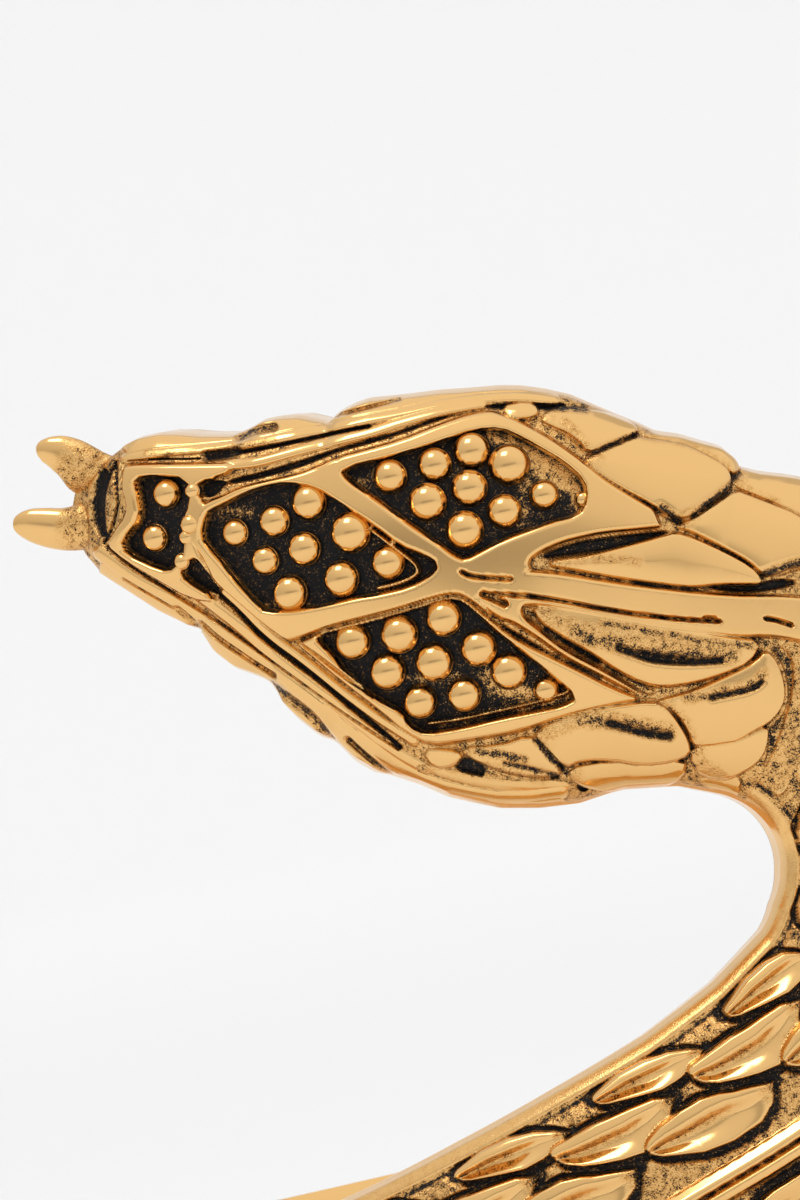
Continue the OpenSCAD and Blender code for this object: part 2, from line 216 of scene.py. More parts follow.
# Where the level band narrows it sinks by as much, so that its lower rim stays on the ground.
def settleDepth(u):
    return np.where(u < levelFrom, 0.0, cuff["bandHalf"] - upperHalf(u))


# Turn from the front: an arc sine where the place is seen from ahead, then lengths along the oval.
def turnAt(x, out):
    overlap = 60.0  # run in front once more, past the last corner
    knots = np.cumsum([0.0, frontRest, sideRun, backRun, sideRun, overlap])
    turns = [reachTurn, cornerTurn, math.pi - cornerTurn, math.pi + cornerTurn,
             2 * math.pi - cornerTurn,
             2 * math.pi - cornerTurn + overlap / (frontRadius + cuff["middleOut"])]
    past = np.interp(np.abs(x) - cuff["frontReach"], knots, turns)
    ahead = np.arcsin(np.clip(x / (frontRadius + out), -1, 1))
    return np.where(np.abs(x) <= cuff["frontReach"], ahead, np.sign(x) * past)


# Point a distance out from the oval of four arcs, at a turn and a height.
def ovalPoint(turn, out, z):
    t = np.mod(turn + math.pi, 2 * math.pi) - math.pi
    atEnds = (np.abs(t) < cornerTurn) | (np.abs(t) > math.pi - cornerTurn)
    centreX = np.where(atEnds, 0.0, np.sign(t) * cuff["sideCentre"])
    centreY = np.where(atEnds, np.where(np.abs(t) < math.pi / 2, frontCentre, -frontCentre), 0.0)
    radius = np.where(atEnds, frontRadius, sideRadius) + out
    return np.stack([centreX + radius * np.sin(t), centreY - radius * np.cos(t), z], axis=-1)


# Turn of a place on the body. In front it is taken at the dome's surface, so that the place shows
# where its outline puts it, and on the level band at the crown's height.
def bodyTurn(u, v):
    x, _, heading = walkPath(u, snoutX, snoutZ)
    blend = np.clip((u - slopeStop) / (levelFrom - slopeStop), 0, 1)
    seen = (1 - blend) * surfaceHeight(u, v) + blend * cuff["bandCrown"]
    return turnAt(x - v * np.sin(heading), seen + liftHeight(u))


# Point of a place on the body: along, across and out from the inner face.
def bodyPoint(u, v, out):
    _, z, heading = walkPath(u, snoutX, snoutZ)
    return ovalPoint(bodyTurn(u, v), out + liftHeight(u), z + v * np.cos(heading) - settleDepth(u))


# The head's ornament is laid out in its own plan, right and up from the knot. The body falls by this
# much in it.
planFall = 10.7 * degree


# Place in the plan: along and across from the knot, turned by the fall.
def planOf(u, v):
    along = u - cuff["knotFromSnout"]
    return (along * math.cos(planFall) + v * math.sin(planFall),
            -along * math.sin(planFall) + v * math.cos(planFall))


# Place on the body: the same turned back.
def bodyOf(p, q):
    return (cuff["knotFromSnout"] + p * math.cos(planFall) - q * math.sin(planFall),
            p * math.sin(planFall) + q * math.cos(planFall))


print("cuff: path and sections ready")


# Rise from 0 at the low value to 1 at the high one: three squares of the share less two cubes.
def smoothStep(low, high, value):
    t = np.clip((value - low) / (high - low), 0, 1)
    return t * t * (3 - 2 * t)


# Each side of a chain of points is cut a quarter in from its ends, which rounds the corners.
def cutCorners(points, closed, times):
    chain = np.array(points, float)
    for _ in range(times):
        after = np.roll(chain, -1, axis=0)
        near = 0.75 * chain + 0.25 * after
        far = 0.25 * chain + 0.75 * after
        mixed = np.stack([near, far], axis=1).reshape(-1, 2)
        chain = mixed if closed else np.vstack([chain[:1], mixed[:-2], chain[-1:]])
    return chain


# Least distance from each place to a chain of straight runs.
def lineDistance(p, q, points, closed=False):
    ends = np.roll(points, -1, axis=0) if closed else points[1:]
    starts = points if closed else points[:-1]
    best = np.full(p.shape, 1e9)
    for (ax, ay), (bx, by) in zip(starts, ends):
        length = np.hypot(bx - ax, by - ay)
        if length < 1e-9:
            continue
        t = np.clip(((p - ax) * (bx - ax) + (q - ay) * (by - ay)) / length ** 2, 0, 1)
        best = np.minimum(best, np.hypot(p - ax - t * (bx - ax), q - ay - t * (by - ay)))
    return best


# Distance to a closed outline, positive inside it, by counting the sides that a level line crosses.
def outlineDistance(p, q, points):
    inside = np.zeros(p.shape, bool)
    for (ax, ay), (bx, by) in zip(points, np.roll(points, -1, axis=0)):
        if ay == by:
            continue
        crosses = (ay > q) != (by > q)
        inside ^= crosses & (p < (bx - ax) * (q - ay) / (by - ay) + ax)
    far = lineDistance(p, q, points, closed=True)
    return np.where(inside, far, -far)


farOutside = -9.0


# Distance into whichever outline holds a place most deeply, with their corners rounded.
def insideDistance(p, q, outlines):
    most = np.full(p.shape, farOutside)
    for outline in outlines:
        most = np.maximum(most, outlineDistance(p, q, cutCorners(outline, True, 1)))
    return most


# Least distance to an open chain with its corners rounded.
def chainDistance(p, q, points):
    return lineDistance(p, q, cutCorners(points, False, 2))


# Quarter round: the root of one less the square of what is left of the rounding's width.
def roundedEdge(distance, width):
    t = np.clip(distance / width, 0, 1)
    return np.sqrt(np.maximum(0.0, 1 - (1 - t) ** 2))


# Section of a bar along a chain: a quarter round on each side, as wide as a share of the bar.
def barShare(p, q, width, points, roundShare):
    return roundedEdge(width / 2 - chainDistance(p, q, points), width * roundShare)


# Section of a groove along a chain: all of its depth within 0.15 of the width, none beyond 0.75.
def grooveShare(p, q, width, points):
    return 1 - smoothStep(width * 0.15, width * 0.75, chainDistance(p, q, points))


# Soft stroke along a chain: the bell of the distance over the width.
def strokeShare(p, q, width, points):
    return np.exp(-(chainDistance(p, q, points) / width) ** 2)


# Frames of the head, all in its plan: plates, the cells sunk in them, and wires and grooves.
framePlates = [
    [(-11.48, 2.26), (-10.9, 3.0), (-10.3, 3.3), (-9.78, 3.5), (-9.13, 3.83), (-8.26, 4.04),
     (-6.52, 4.43), (-5.65, 4.78), (-4.78, 5.17), (-3.9, 5.0), (-2.2, 3.2), (0.4, 1.0), (1.1, 0.2),
     (0.9, -0.9), (-0.43, -1.2), (-1.74, -1.6), (-3.48, -2.1), (-5.22, -2.45), (-6.52, -2.85),
     (-6.96, -2.96), (-8.04, -2.17), (-9.13, -1.22), (-10.13, -0.35), (-10.43, 0.3), (-10.74, 0.87),
     (-11.22, 1.39), (-11.48, 1.83)],
    [(-5.0, 4.9), (-4.78, 5.17), (-3.91, 5.39), (-2.17, 5.87), (-0.43, 6.57), (0.87, 7.0),
     (1.74, 7.13), (2.17, 7.0), (3.04, 6.65), (3.91, 6.17), (4.78, 5.61), (5.78, 4.87),
     (6.52, 4.22), (7.39, 3.65), (8.26, 3.13), (8.78, 2.83), (9.0, 2.3), (9.13, 1.96),
     (8.26, 1.87), (6.52, 1.7), (5.65, 1.52), (4.78, 1.3), (3.91, 0.91), (3.4, 0.5), (3.6, 0.2),
     (2.6, -0.85), (1.4, -1.2), (0.4, -1.2), (-0.8, -1.2), (-1.2, 0.4), (-2.6, 1.9), (-4.6, 3.6)],
    [(-6.8, -2.85), (-5.22, -2.0), (-2.0, -1.2), (0.2, -0.6), (1.2, -0.7), (1.6, -1.4),
     (2.04, -2.2), (3.04, -2.87), (4.35, -3.52), (5.65, -4.17), (6.96, -4.87), (8.48, -5.46),
     (6.52, -5.83), (4.78, -6.26), (3.04, -6.87), (0.87, -7.26), (-0.87, -7.48), (-1.83, -6.96),
     (-3.04, -5.91), (-4.78, -4.57), (-5.87, -3.61)],
    [(0.6, -0.4), (2.4, 0.3), (3.48, 0.22), (4.78, 0.09), (6.52, -0.22), (8.26, -0.48),
     (10.87, -0.78), (13.04, -0.91), (15.22, -0.78), (17.5, -0.7), (17.5, -2.95), (15.22, -2.87),
     (13.48, -2.78), (12.61, -2.83), (11.74, -2.78), (10.0, -2.52), (8.26, -2.22), (6.52, -1.87),
     (4.78, -1.52), (3.26, -1.38), (3.13, -1.6), (3.26, -1.87), (3.61, -2.17), (4.13, -2.61),
     (4.65, -3.04), (5.35, -3.48), (6.09, -3.87), (7.39, -4.61), (8.48, -5.4), (7.4, -4.95),
     (6.09, -4.26), (5.22, -3.83), (4.35, -3.26), (3.78, -2.85), (3.04, -2.37), (2.61, -2.12),
     (2.04, -1.96), (1.2, -1.3)],
    [(-14.13, 4.74), (-13.8, 4.88), (-12.61, 4.91), (-10.65, 4.91), (-9.2, 4.95), (-9.3, 4.4),
     (-10.2, 4.1), (-10.65, 3.4), (-10.2, 3.0), (-10.87, 1.83), (-10.65, 1.04), (-10.3, 0.4),
     (-10.5, -0.5), (-9.9, -1.3), (-11.17, -1.1), (-12.61, -0.26), (-13.91, 0.52), (-14.91, 1.35),
     (-14.43, 2.04), (-14.0, 2.61), (-13.96, 3.13), (-14.17, 3.78)],
]
cellPits = [
    [(-13.48, 4.17), (-12.61, 4.26), (-11.3, 4.15), (-11.2, 3.13), (-11.61, 2.26), (-11.39, 1.17),
     (-11.83, 0.35), (-12.39, 0.3), (-13.91, 1.04), (-14.0, 1.48), (-13.17, 2.48), (-13.35, 3.57)],
    [(-10.68, 4.0), (-9.7, 4.12), (-9.8, 3.75), (-10.35, 3.3), (-10.72, 3.5)],
    [(-11.0, 0.65), (-10.74, 0.52), (-10.22, -0.26), (-9.75, -0.85), (-10.22, -0.82),
     (-11.3, -0.15), (-11.42, 0.15)],
    [(-10.57, 1.7), (-10.35, 2.61), (-10.0, 2.83), (-8.7, 3.48), (-7.83, 3.78), (-6.96, 3.91),
     (-5.74, 3.7), (-4.57, 2.91), (-3.26, 2.04), (-2.17, 1.17), (-1.09, 0.74), (-0.57, 0.39),
     (-0.87, 0.0), (-1.74, -0.48), (-3.04, -0.78), (-3.91, -0.91), (-5.22, -1.22), (-6.52, -1.48),
     (-7.83, -1.52), (-8.17, -1.22), (-9.0, -0.35), (-9.65, 0.52), (-10.22, 1.17)],
    [(-4.57, 4.52), (-2.17, 5.09), (-0.43, 5.65), (1.09, 6.17), (2.17, 6.22), (3.04, 5.8),
     (3.91, 5.3), (4.78, 4.78), (5.65, 4.0), (5.75, 3.2), (5.43, 2.61), (4.13, 2.26),
     (2.17, 1.52), (1.4, 1.1), (0.65, 0.7), (0.22, 0.87), (-0.43, 1.39), (-1.3, 1.96),
     (-2.17, 2.61), (-3.48, 3.57), (-4.26, 4.09)],
    [(-5.74, -2.65), (-4.57, -2.39), (-2.17, -1.74), (-0.43, -1.17), (0.22, -1.09),
     (0.65, -1.3), (1.3, -1.91), (2.17, -2.7), (3.04, -3.39), (4.35, -4.48), (5.35, -5.35),
     (4.78, -5.65), (3.91, -5.83), (2.17, -6.17), (0.43, -6.61), (-0.96, -6.83), (-1.65, -6.52),
     (-1.96, -5.91), (-3.26, -5.22), (-4.35, -4.26), (-5.0, -3.39)],
]
# Thin wires inside the cells: width and points.
cellWires = [
    (0.15, [(-0.9, -6.45), (0.43, -6.28), (2.17, -5.88), (3.91, -5.5), (5.0, -5.12)]),
    (0.16, [(-3.5, 1.9), (-3.2, 2.3), (-2.75, 2.2), (-2.5, 1.75), (-2.45, 1.3)]),
    (0.2, [(-3.3, 1.85), (-2.2, 1.0), (-1.5, 0.45), (-1.35, 0.1), (-1.7, -0.2), (-2.4, -0.45),
           (-3.1, -0.6)]),
]
# Grooves cut in the plates: width, depth and points.
plateGrooves = [
    (0.2, 0.5, [(-6.4, -2.85), (-5.22, -2.33), (-3.5, -1.9), (-2.17, -1.56), (-0.43, -1.0),
                (0.35, -0.9), (0.87, -1.2), (1.43, -1.65), (2.04, -2.1)]),
    (0.14, 0.3, [(-6.4, -2.95), (-5.6, -3.5), (-4.78, -4.15), (-3.9, -4.8), (-3.2, -5.3)]),
    (0.17, 0.35, [(0.52, 0.09), (0.87, -0.09), (1.52, -0.17), (2.61, -0.22)]),
    (0.15, 0.5, [(1.43, -0.87), (2.2, -0.88), (3.48, -0.96), (4.78, -1.17), (6.52, -1.52),
                 (8.26, -1.8), (10.0, -2.0), (11.52, -2.08)]),
    (0.28, 0.5, [(1.45, -0.88), (1.9, -1.05), (2.35, -1.28)]),
    (0.22, 0.3, [(10.9, -1.95), (11.3, -1.97)]),
    (0.17, 0.35, [(13.5, -1.96), (13.9, -2.0), (14.57, -2.17)]),
]
# Rails beside the frames: width, height and points.
rails = [
    (0.62, 0.5, [(-14.0, 5.1), (-12.61, 5.35), (-10.87, 5.5), (-8.26, 5.76), (-6.52, 6.15),
                 (-4.78, 6.5), (-3.48, 6.76), (-2.17, 7.0), (-0.43, 7.42), (1.3, 7.66),
                 (3.04, 7.75), (4.5, 7.6)]),
    (0.6, 0.5, [(-10.87, 4.7), (-9.13, 4.8), (-8.26, 4.86), (-6.52, 5.38), (-4.78, 5.84),
                (-3.48, 6.12), (-2.17, 6.6), (-0.43, 7.1), (1.3, 7.4)]),
    (0.78, 0.5, [(-15.2, 0.95), (-13.91, -0.13), (-12.61, -0.8), (-11.3, -1.5), (-10.0, -2.41),
                 (-8.7, -3.4), (-7.39, -4.38), (-5.65, -5.72), (-3.91, -7.1), (-2.17, -8.45),
                 (-0.43, -9.2), (1.3, -9.6), (3.04, -9.75), (4.8, -9.5)]),
    (0.66, 0.5, [(-10.95, -0.8), (-9.78, -1.65), (-8.7, -2.55), (-7.61, -3.55), (-6.52, -4.36),
                 (-5.22, -5.4), (-3.91, -6.48), (-2.17, -7.85), (-1.0, -8.5)]),
    (0.5, 0.55, [(-9.65, -0.72), (-8.9, -1.4), (-8.17, -2.2), (-7.3, -2.95), (-6.52, -3.5),
                 (-5.6, -4.25), (-4.78, -4.95), (-3.9, -5.6), (-3.04, -6.25), (-1.52, -7.25)]),
    (0.2, 0.42, [(-14.26, 5.0), (-14.3, 3.13), (-14.43, 2.26), (-14.87, 1.39)]),
    (0.42, 0.35, [(-14.78, 4.96), (-15.35, 4.0), (-15.6, 3.13), (-15.64, 1.83), (-15.55, 0.96)]),
]
railGrooves = [
    (0.07, 0.2, [(-13.9, 4.98), (-12.6, 5.05), (-11.4, 5.02), (-10.8, 5.05)]),
    (0.14, 0.28, [(-10.4, 5.12), (-9.13, 5.28), (-7.39, 5.6), (-5.65, 5.98), (-4.35, 6.26),
                  (-3.5, 6.4)]),
    (0.5, 0.24, [(-10.45, 5.15), (-9.9, 5.2), (-9.3, 5.35)]),
    (0.2, 0.27, [(-9.91, -0.9), (-8.91, -1.8), (-8.17, -2.66), (-7.17, -3.42), (-6.09, -4.2),
                 (-5.22, -4.9), (-4.26, -5.72), (-3.26, -6.56), (-2.17, -7.5)]),
    (0.12, 0.35, [(-9.5, -0.4), (-8.9, -1.15), (-8.1, -1.95), (-7.3, -2.55), (-6.7, -2.85)]),
    (0.1, 0.2, [(-14.87, 1.25), (-13.91, 0.4), (-12.61, -0.4), (-11.26, -1.24), (-10.0, -2.04),
                 (-8.7, -3.0), (-7.39, -3.96), (-6.09, -4.9), (-4.78, -5.87), (-3.48, -6.72),
                 (-2.17, -7.6)]),
    (0.3, 0.3, [(-10.85, -2.35), (-11.25, -1.9), (-11.75, -1.5)]),
    (0.1, 0.16, [(-11.9, -1.45), (-13.0, -0.8), (-14.1, -0.15)]),
    (0.22, 0.3, [(-7.55, -4.38), (-8.4, -3.85), (-9.2, -3.3), (-10.0, -2.75), (-10.7, -2.1)]),
    (0.4, 0.35, [(-5.0, -7.35), (-5.5, -6.7), (-6.0, -6.1), (-6.9, -5.4), (-7.7, -4.8)]),
    (0.26, 0.35, [(-2.61, -8.7), (-3.48, -8.0), (-4.35, -7.2)]),
    (0.4, 0.35, [(-9.1, 5.98), (-8.5, 6.25), (-7.6, 6.4)]),
    (0.3, 0.4, [(-15.05, 4.5), (-15.35, 3.9), (-15.45, 3.1), (-15.35, 2.3), (-15.1, 1.8)]),
    (0.16, 0.3, [(-14.55, 4.9), (-14.5, 4.0), (-14.35, 3.1), (-14.6, 2.1), (-15.0, 1.4)]),
    (0.2, 0.25, [(-5.2, 6.85), (-4.3, 7.05), (-3.3, 7.3), (-2.2, 7.6)]),
]
# Large scales: rise, the way that they climb to their tip, and outline.
neckPlates = [
    (0.45, (0.9, -0.35), [(3.83, 6.7), (4.35, 7.13), (5.22, 7.22), (6.52, 7.0), (7.39, 6.83),
                          (7.91, 6.43), (8.04, 6.17), (7.39, 5.87), (6.52, 5.48), (5.87, 5.3),
                          (5.57, 5.74), (5.0, 6.17), (4.35, 6.43)]),
    (0.5, (0.9, -0.4), [(5.78, 5.09), (6.52, 5.39), (7.39, 5.74), (7.96, 5.91), (8.7, 5.83),
                        (10.0, 5.65), (10.87, 5.22), (11.74, 4.74), (12.04, 4.22), (12.04, 3.74),
                        (11.52, 3.39), (10.87, 2.91), (10.43, 2.57), (9.78, 2.39), (9.13, 2.7),
                        (8.48, 3.13), (7.39, 3.7), (6.52, 4.26), (5.87, 4.78)]),
    (0.45, (0.9, -0.4), [(8.3, 6.05), (9.13, 6.3), (10.4, 6.2), (11.5, 5.95), (12.2, 5.45),
                         (12.55, 4.75), (12.25, 4.3), (11.9, 4.6), (11.3, 5.05), (10.4, 5.5),
                         (9.6, 5.75), (8.7, 5.9)]),
    (0.4, (0.95, -0.3), [(12.61, 4.62), (14.0, 4.5), (15.22, 4.1), (16.7, 3.6), (17.6, 2.9),
                         (17.0, 2.3), (15.9, 2.0), (15.22, 2.3), (14.57, 2.8), (13.7, 3.24),
                         (12.83, 3.59), (12.26, 3.85), (12.09, 4.2)]),
    (0.5, (0.85, -0.5), [(9.65, 2.06), (10.43, 2.39), (11.09, 2.78), (11.74, 3.22), (12.35, 3.57),
                         (12.83, 3.38), (13.48, 3.13), (14.35, 2.78), (14.78, 2.48), (15.22, 2.1),
                         (15.4, 1.39), (15.13, 0.7), (14.35, 0.3), (13.7, -0.1), (13.35, 0.02),
                         (12.83, 0.54), (11.74, 1.15), (10.65, 1.72), (10.0, 1.98)]),
    (0.5, (0.95, -0.3), [(4.26, 0.5), (4.78, 0.6), (5.65, 0.7), (6.52, 0.9), (8.26, 1.35),
                         (9.13, 1.6), (9.65, 1.76), (10.43, 1.5), (11.74, 0.89), (12.83, 0.28),
                         (13.35, -0.26), (13.26, -0.43), (12.61, -0.42), (11.5, -0.42),
                         (10.6, -0.53), (10.0, -0.53), (8.26, -0.31), (6.52, -0.04), (5.22, 0.22),
                         (4.35, 0.34)]),
    (0.5, (0.95, -0.25), [(3.5, -1.4), (4.78, -1.42), (6.52, -1.77), (8.26, -2.12), (10.0, -2.45),
                          (11.74, -2.78), (13.35, -2.95), (12.83, -3.83), (11.74, -4.3),
                          (10.43, -4.7), (9.13, -4.87), (8.26, -4.7), (7.17, -4.13),
                          (6.09, -3.39), (4.78, -2.65), (3.91, -2.09)]),
    (0.55, (0.9, 0.1), [(8.75, -5.57), (10.43, -5.13), (12.17, -4.35), (13.13, -3.83),
                        (13.57, -3.35), (14.13, -3.83), (14.65, -4.7), (14.91, -5.43),
                        (14.78, -6.0), (14.35, -6.52), (13.48, -6.87), (12.61, -7.22),
                        (10.87, -7.48), (10.43, -7.39), (10.22, -6.78), (9.78, -6.09),
                        (9.13, -5.65)]),
    (0.55, (0.95, -0.2), [(4.78, -6.3), (6.09, -5.91), (7.39, -5.7), (8.7, -5.57), (9.22, -5.78),
                          (9.78, -6.52), (10.22, -7.3), (10.3, -7.83), (9.57, -8.17),
                          (8.26, -8.3), (6.96, -8.04), (5.65, -8.04), (4.91, -8.39),
                          (4.13, -7.52), (3.61, -7.09), (3.91, -6.65)]),
    (0.45, (0.95, -0.1), [(10.43, -7.52), (11.74, -7.39), (13.04, -7.17), (14.35, -6.65),
                          (14.65, -7.3), (14.7, -7.96), (14.35, -8.39), (13.48, -8.75),
                          (12.2, -8.95), (10.87, -8.8), (10.4, -8.2)]),
    (0.4, (0.95, -0.2), [(5.0, -8.45), (6.96, -8.15), (8.3, -8.4), (10.1, -8.1), (10.1, -8.8),
                         (9.0, -9.4), (7.0, -9.5), (5.4, -9.1)]),
    (0.35, (0.9, -0.2), [(0.3, -7.55), (2.17, -7.45), (3.4, -7.0), (3.9, -7.4), (4.8, -8.4),
                         (4.6, -8.75), (2.9, -8.7), (1.4, -8.2)]),
    (0.06, (0.9, -0.2), [(-1.6, -8.35), (-0.4, -8.35), (1.3, -8.85), (3.2, -9.0), (4.9, -8.95),
                         (5.3, -9.3), (4.3, -9.5), (2.6, -9.45), (1.0, -9.2), (-0.3, -8.85)]),
    (0.1, (0.9, -0.2), [(10.4, -9.05), (11.7, -8.8), (13.5, -9.05), (13.8, -9.9), (13.3, -10.6),
                        (12.4, -9.9), (11.1, -9.26)]),
    (0.3, (0.9, -0.2), [(-1.2, -7.65), (-0.2, -7.6), (0.6, -7.8), (0.2, -8.3), (-0.6, -8.4)]),
    (0.35, (0.9, 0.1), [(2.17, 7.2), (3.3, 7.45), (3.78, 7.13), (3.61, 6.83), (2.61, 6.72)]),
]
# Black hollows beside the frames: depth below the field, and outline.
blackHollows = [
    (0.3, [(-14.75, 4.7), (-15.05, 4.4), (-15.35, 3.6), (-15.45, 2.9), (-15.3, 2.2),
           (-14.95, 1.5), (-14.8, 1.3), (-14.95, 2.2), (-15.0, 3.0), (-14.9, 3.8),
           (-14.5, 4.8)]),
    (0.3, [(-9.9, 3.9), (-9.13, 3.95), (-8.26, 4.12), (-6.52, 4.6), (-5.65, 4.95), (-4.78, 5.3),
           (-3.91, 5.52), (-2.17, 6.02), (-0.43, 6.68), (0.87, 7.05), (1.74, 7.2), (2.9, 6.95),
           (4.3, 7.2), (5.2, 7.35), (3.9, 7.55), (1.74, 7.35), (0.87, 7.25), (-0.43, 6.86),
           (-2.17, 6.22), (-3.91, 5.72), (-4.78, 5.5), (-6.52, 4.92), (-8.26, 4.4), (-9.3, 4.2)]),
    (0.3, [(3.9, 0.7), (4.13, 0.96), (5.43, 1.39), (6.52, 1.57), (8.26, 1.78), (9.48, 1.87),
           (9.35, 1.72), (8.26, 1.35), (6.96, 1.04), (5.43, 0.83), (4.26, 0.66)]),
    (0.3, [(10.6, -0.5), (11.7, -0.42), (13.3, -0.45), (14.0, -0.15), (14.9, -0.2), (14.2, -0.65),
           (13.04, -0.84), (11.7, -0.76)]),
    (0.14, [(3.3, -1.5), (3.9, -1.75), (4.9, -2.5), (6.1, -3.2), (7.2, -4.0), (8.3, -4.75), (9.0, -5.1),
            (8.5, -5.35), (7.39, -4.61), (6.09, -3.87), (5.35, -3.48), (4.13, -2.61), (3.26, -1.87)]),
    (0.3, [(4.3, -2.4), (5.0, -2.85), (5.9, -3.32), (6.7, -3.85), (6.4, -3.95), (5.6, -3.5),
           (4.8, -3.0)]),
    (0.1, [(10.4, -2.72), (11.74, -2.92), (13.4, -2.97), (13.9, -3.1), (12.6, -3.08), (11.3, -3.02)]),
    (0.3, [(1.8, -1.95), (2.6, -2.4), (3.48, -2.95), (4.35, -3.45), (5.2, -3.9), (6.0, -4.3),
           (4.78, -3.8), (3.48, -3.17), (2.6, -2.65), (1.9, -2.15)]),
    (0.16, [(13.7, -3.2), (14.3, -3.6), (14.95, -4.6), (15.3, -5.6), (15.0, -6.4), (14.5, -6.8),
            (15.0, -7.6), (15.2, -8.6), (15.6, -8.4), (15.5, -6.0), (15.2, -3.9), (14.5, -3.0)]),
    (0.26, [(-0.5, -7.95), (0.3, -7.9), (1.0, -7.95), (1.6, -8.4), (1.4, -8.85), (0.8, -8.95),
            (0.3, -8.4)]),
    (0.3, [(5.4, -9.05), (5.8, -8.95), (6.1, -9.2), (5.9, -9.5), (5.5, -9.4)]),
]
# Places where the dark floor of a cell is rubbed to gold: how much, half width and points.
goldenFloors = [
    (0.85, 0.42, [(1.9, 6.0), (2.9, 5.6), (3.9, 5.1), (4.9, 4.45), (5.5, 3.7), (5.6, 3.0)]),
    (0.7, 0.45, [(3.2, 5.4), (3.9, 4.4), (4.9, 3.9)]),
    (0.42, 0.35, [(3.2, 2.2), (3.0, 3.4), (3.4, 4.0)]),
    (0.8, 0.2, [(-0.4, -6.55), (1.2, -6.2), (2.8, -5.85), (4.3, -5.55), (4.9, -5.3)]),
    (0.6, 0.5, [(1.6, -4.4), (2.0, -5.0), (3.2, -5.1)]),
    (0.36, 0.4, [(-1.6, -4.6), (0.2, -4.5)]),
    (0.4, 0.3, [(-10.0, 2.6), (-9.4, 2.75), (-8.7, 2.6)]),
    (0.5, 0.22, [(-3.0, 0.1), (-2.3, 0.7), (-1.9, 0.9)]),
    (0.35, 0.25, [(-4.1, 4.0), (-3.4, 3.9), (-3.3, 4.5)]),
    (0.4, 0.2, [(-7.9, -1.3), (-7.2, -1.45), (-6.2, -1.4)]),
]
# Speckled patina: how dark, half width and points. The darkest ones are streaks worn into scales.
speckledAreas = [
    (0.34, 0.42, [(3.6, -1.85), (5.2, -2.25), (7.0, -2.75), (9.0, -3.15), (11.0, -3.25)]),
    (0.26, 0.3, [(4.2, 0.5), (5.5, 0.6), (7.0, 0.65), (8.0, 0.5)]),
    (0.22, 0.3, [(8.9, 2.75), (9.6, 2.5), (10.4, 2.7)]),
    (0.26, 0.35, [(9.3, -5.65), (10.0, -6.2), (10.35, -7.1)]),
    (0.24, 0.35, [(4.2, -7.0), (5.2, -6.6), (6.3, -6.15)]),
    (0.26, 0.4, [(10.7, -7.6), (10.9, -8.3), (11.6, -8.7)]),
    (0.24, 0.3, [(5.8, 5.5), (5.4, 6.1), (4.9, 6.6)]),
    (0.2, 0.25, [(8.2, 5.95), (10.4, 5.6), (11.9, 4.7)]),
    (0.22, 0.3, [(12.2, 4.1), (13.0, 3.5), (14.0, 3.1)]),
    (1.0, 0.17, [(7.2, -3.2), (8.0, -3.5), (8.8, -3.76), (10.4, -3.84), (11.6, -3.76)]),
    (0.8, 0.2, [(8.2, -3.4), (9.0, -3.6), (10.0, -3.66)]),
    (0.52, 0.42, [(5.4, -2.6), (6.6, -2.9), (7.6, -3.2), (8.7, -3.5), (10.4, -3.55), (12.0, -3.6)]),
    (0.5, 0.2, [(6.5, -2.1), (8.2, -2.45), (10.0, -2.8), (11.7, -3.05), (13.0, -3.15)]),
    (0.74, 0.15, [(5.75, 5.0), (6.5, 5.4), (7.4, 5.8), (8.0, 6.05)]),
    (0.74, 0.17, [(12.2, 4.05), (11.6, 3.45), (10.9, 2.95), (10.4, 2.55)]),
    (0.7, 0.18, [(9.0, 2.9), (9.5, 2.5), (9.9, 2.2)]),
    (0.74, 0.2, [(13.4, -0.1), (14.3, 0.35), (15.1, 0.75)]),
    (0.74, 0.17, [(12.5, 4.35), (12.2, 4.2)]),
    (0.74, 0.2, [(4.1, 7.15), (4.9, 7.25), (5.8, 7.15)]),
    (0.9, 0.15, [(11.2, -5.38), (12.2, -5.18), (13.2, -4.95), (13.5, -4.7)]),
    (0.44, 0.3, [(10.2, -5.4), (11.3, -5.2), (12.8, -4.95), (13.5, -4.4)]),
    (1.0, 0.2, [(6.8, -6.45), (7.8, -6.75), (8.6, -6.95), (9.4, -7.05)]),
    (0.5, 0.42, [(5.7, -6.25), (6.6, -6.35), (7.6, -6.5), (8.5, -6.7), (9.3, -6.85)]),
    (0.3, 0.2, [(-13.0, 5.3), (-11.0, 5.2), (-9.0, 5.6), (-7.6, 5.8)]),
    (0.3, 0.3, [(1.5, -8.3), (2.6, -8.6), (4.0, -8.9)]),
    (0.6, 0.22, [(1.2, -7.7), (2.2, -7.8), (3.2, -8.05)]),
    (0.74, 0.16, [(3.7, -7.2), (4.3, -7.9), (5.0, -8.6)]),
    (0.75, 0.13, [(2.4, -8.2), (3.4, -8.4), (4.6, -8.75)]),
]

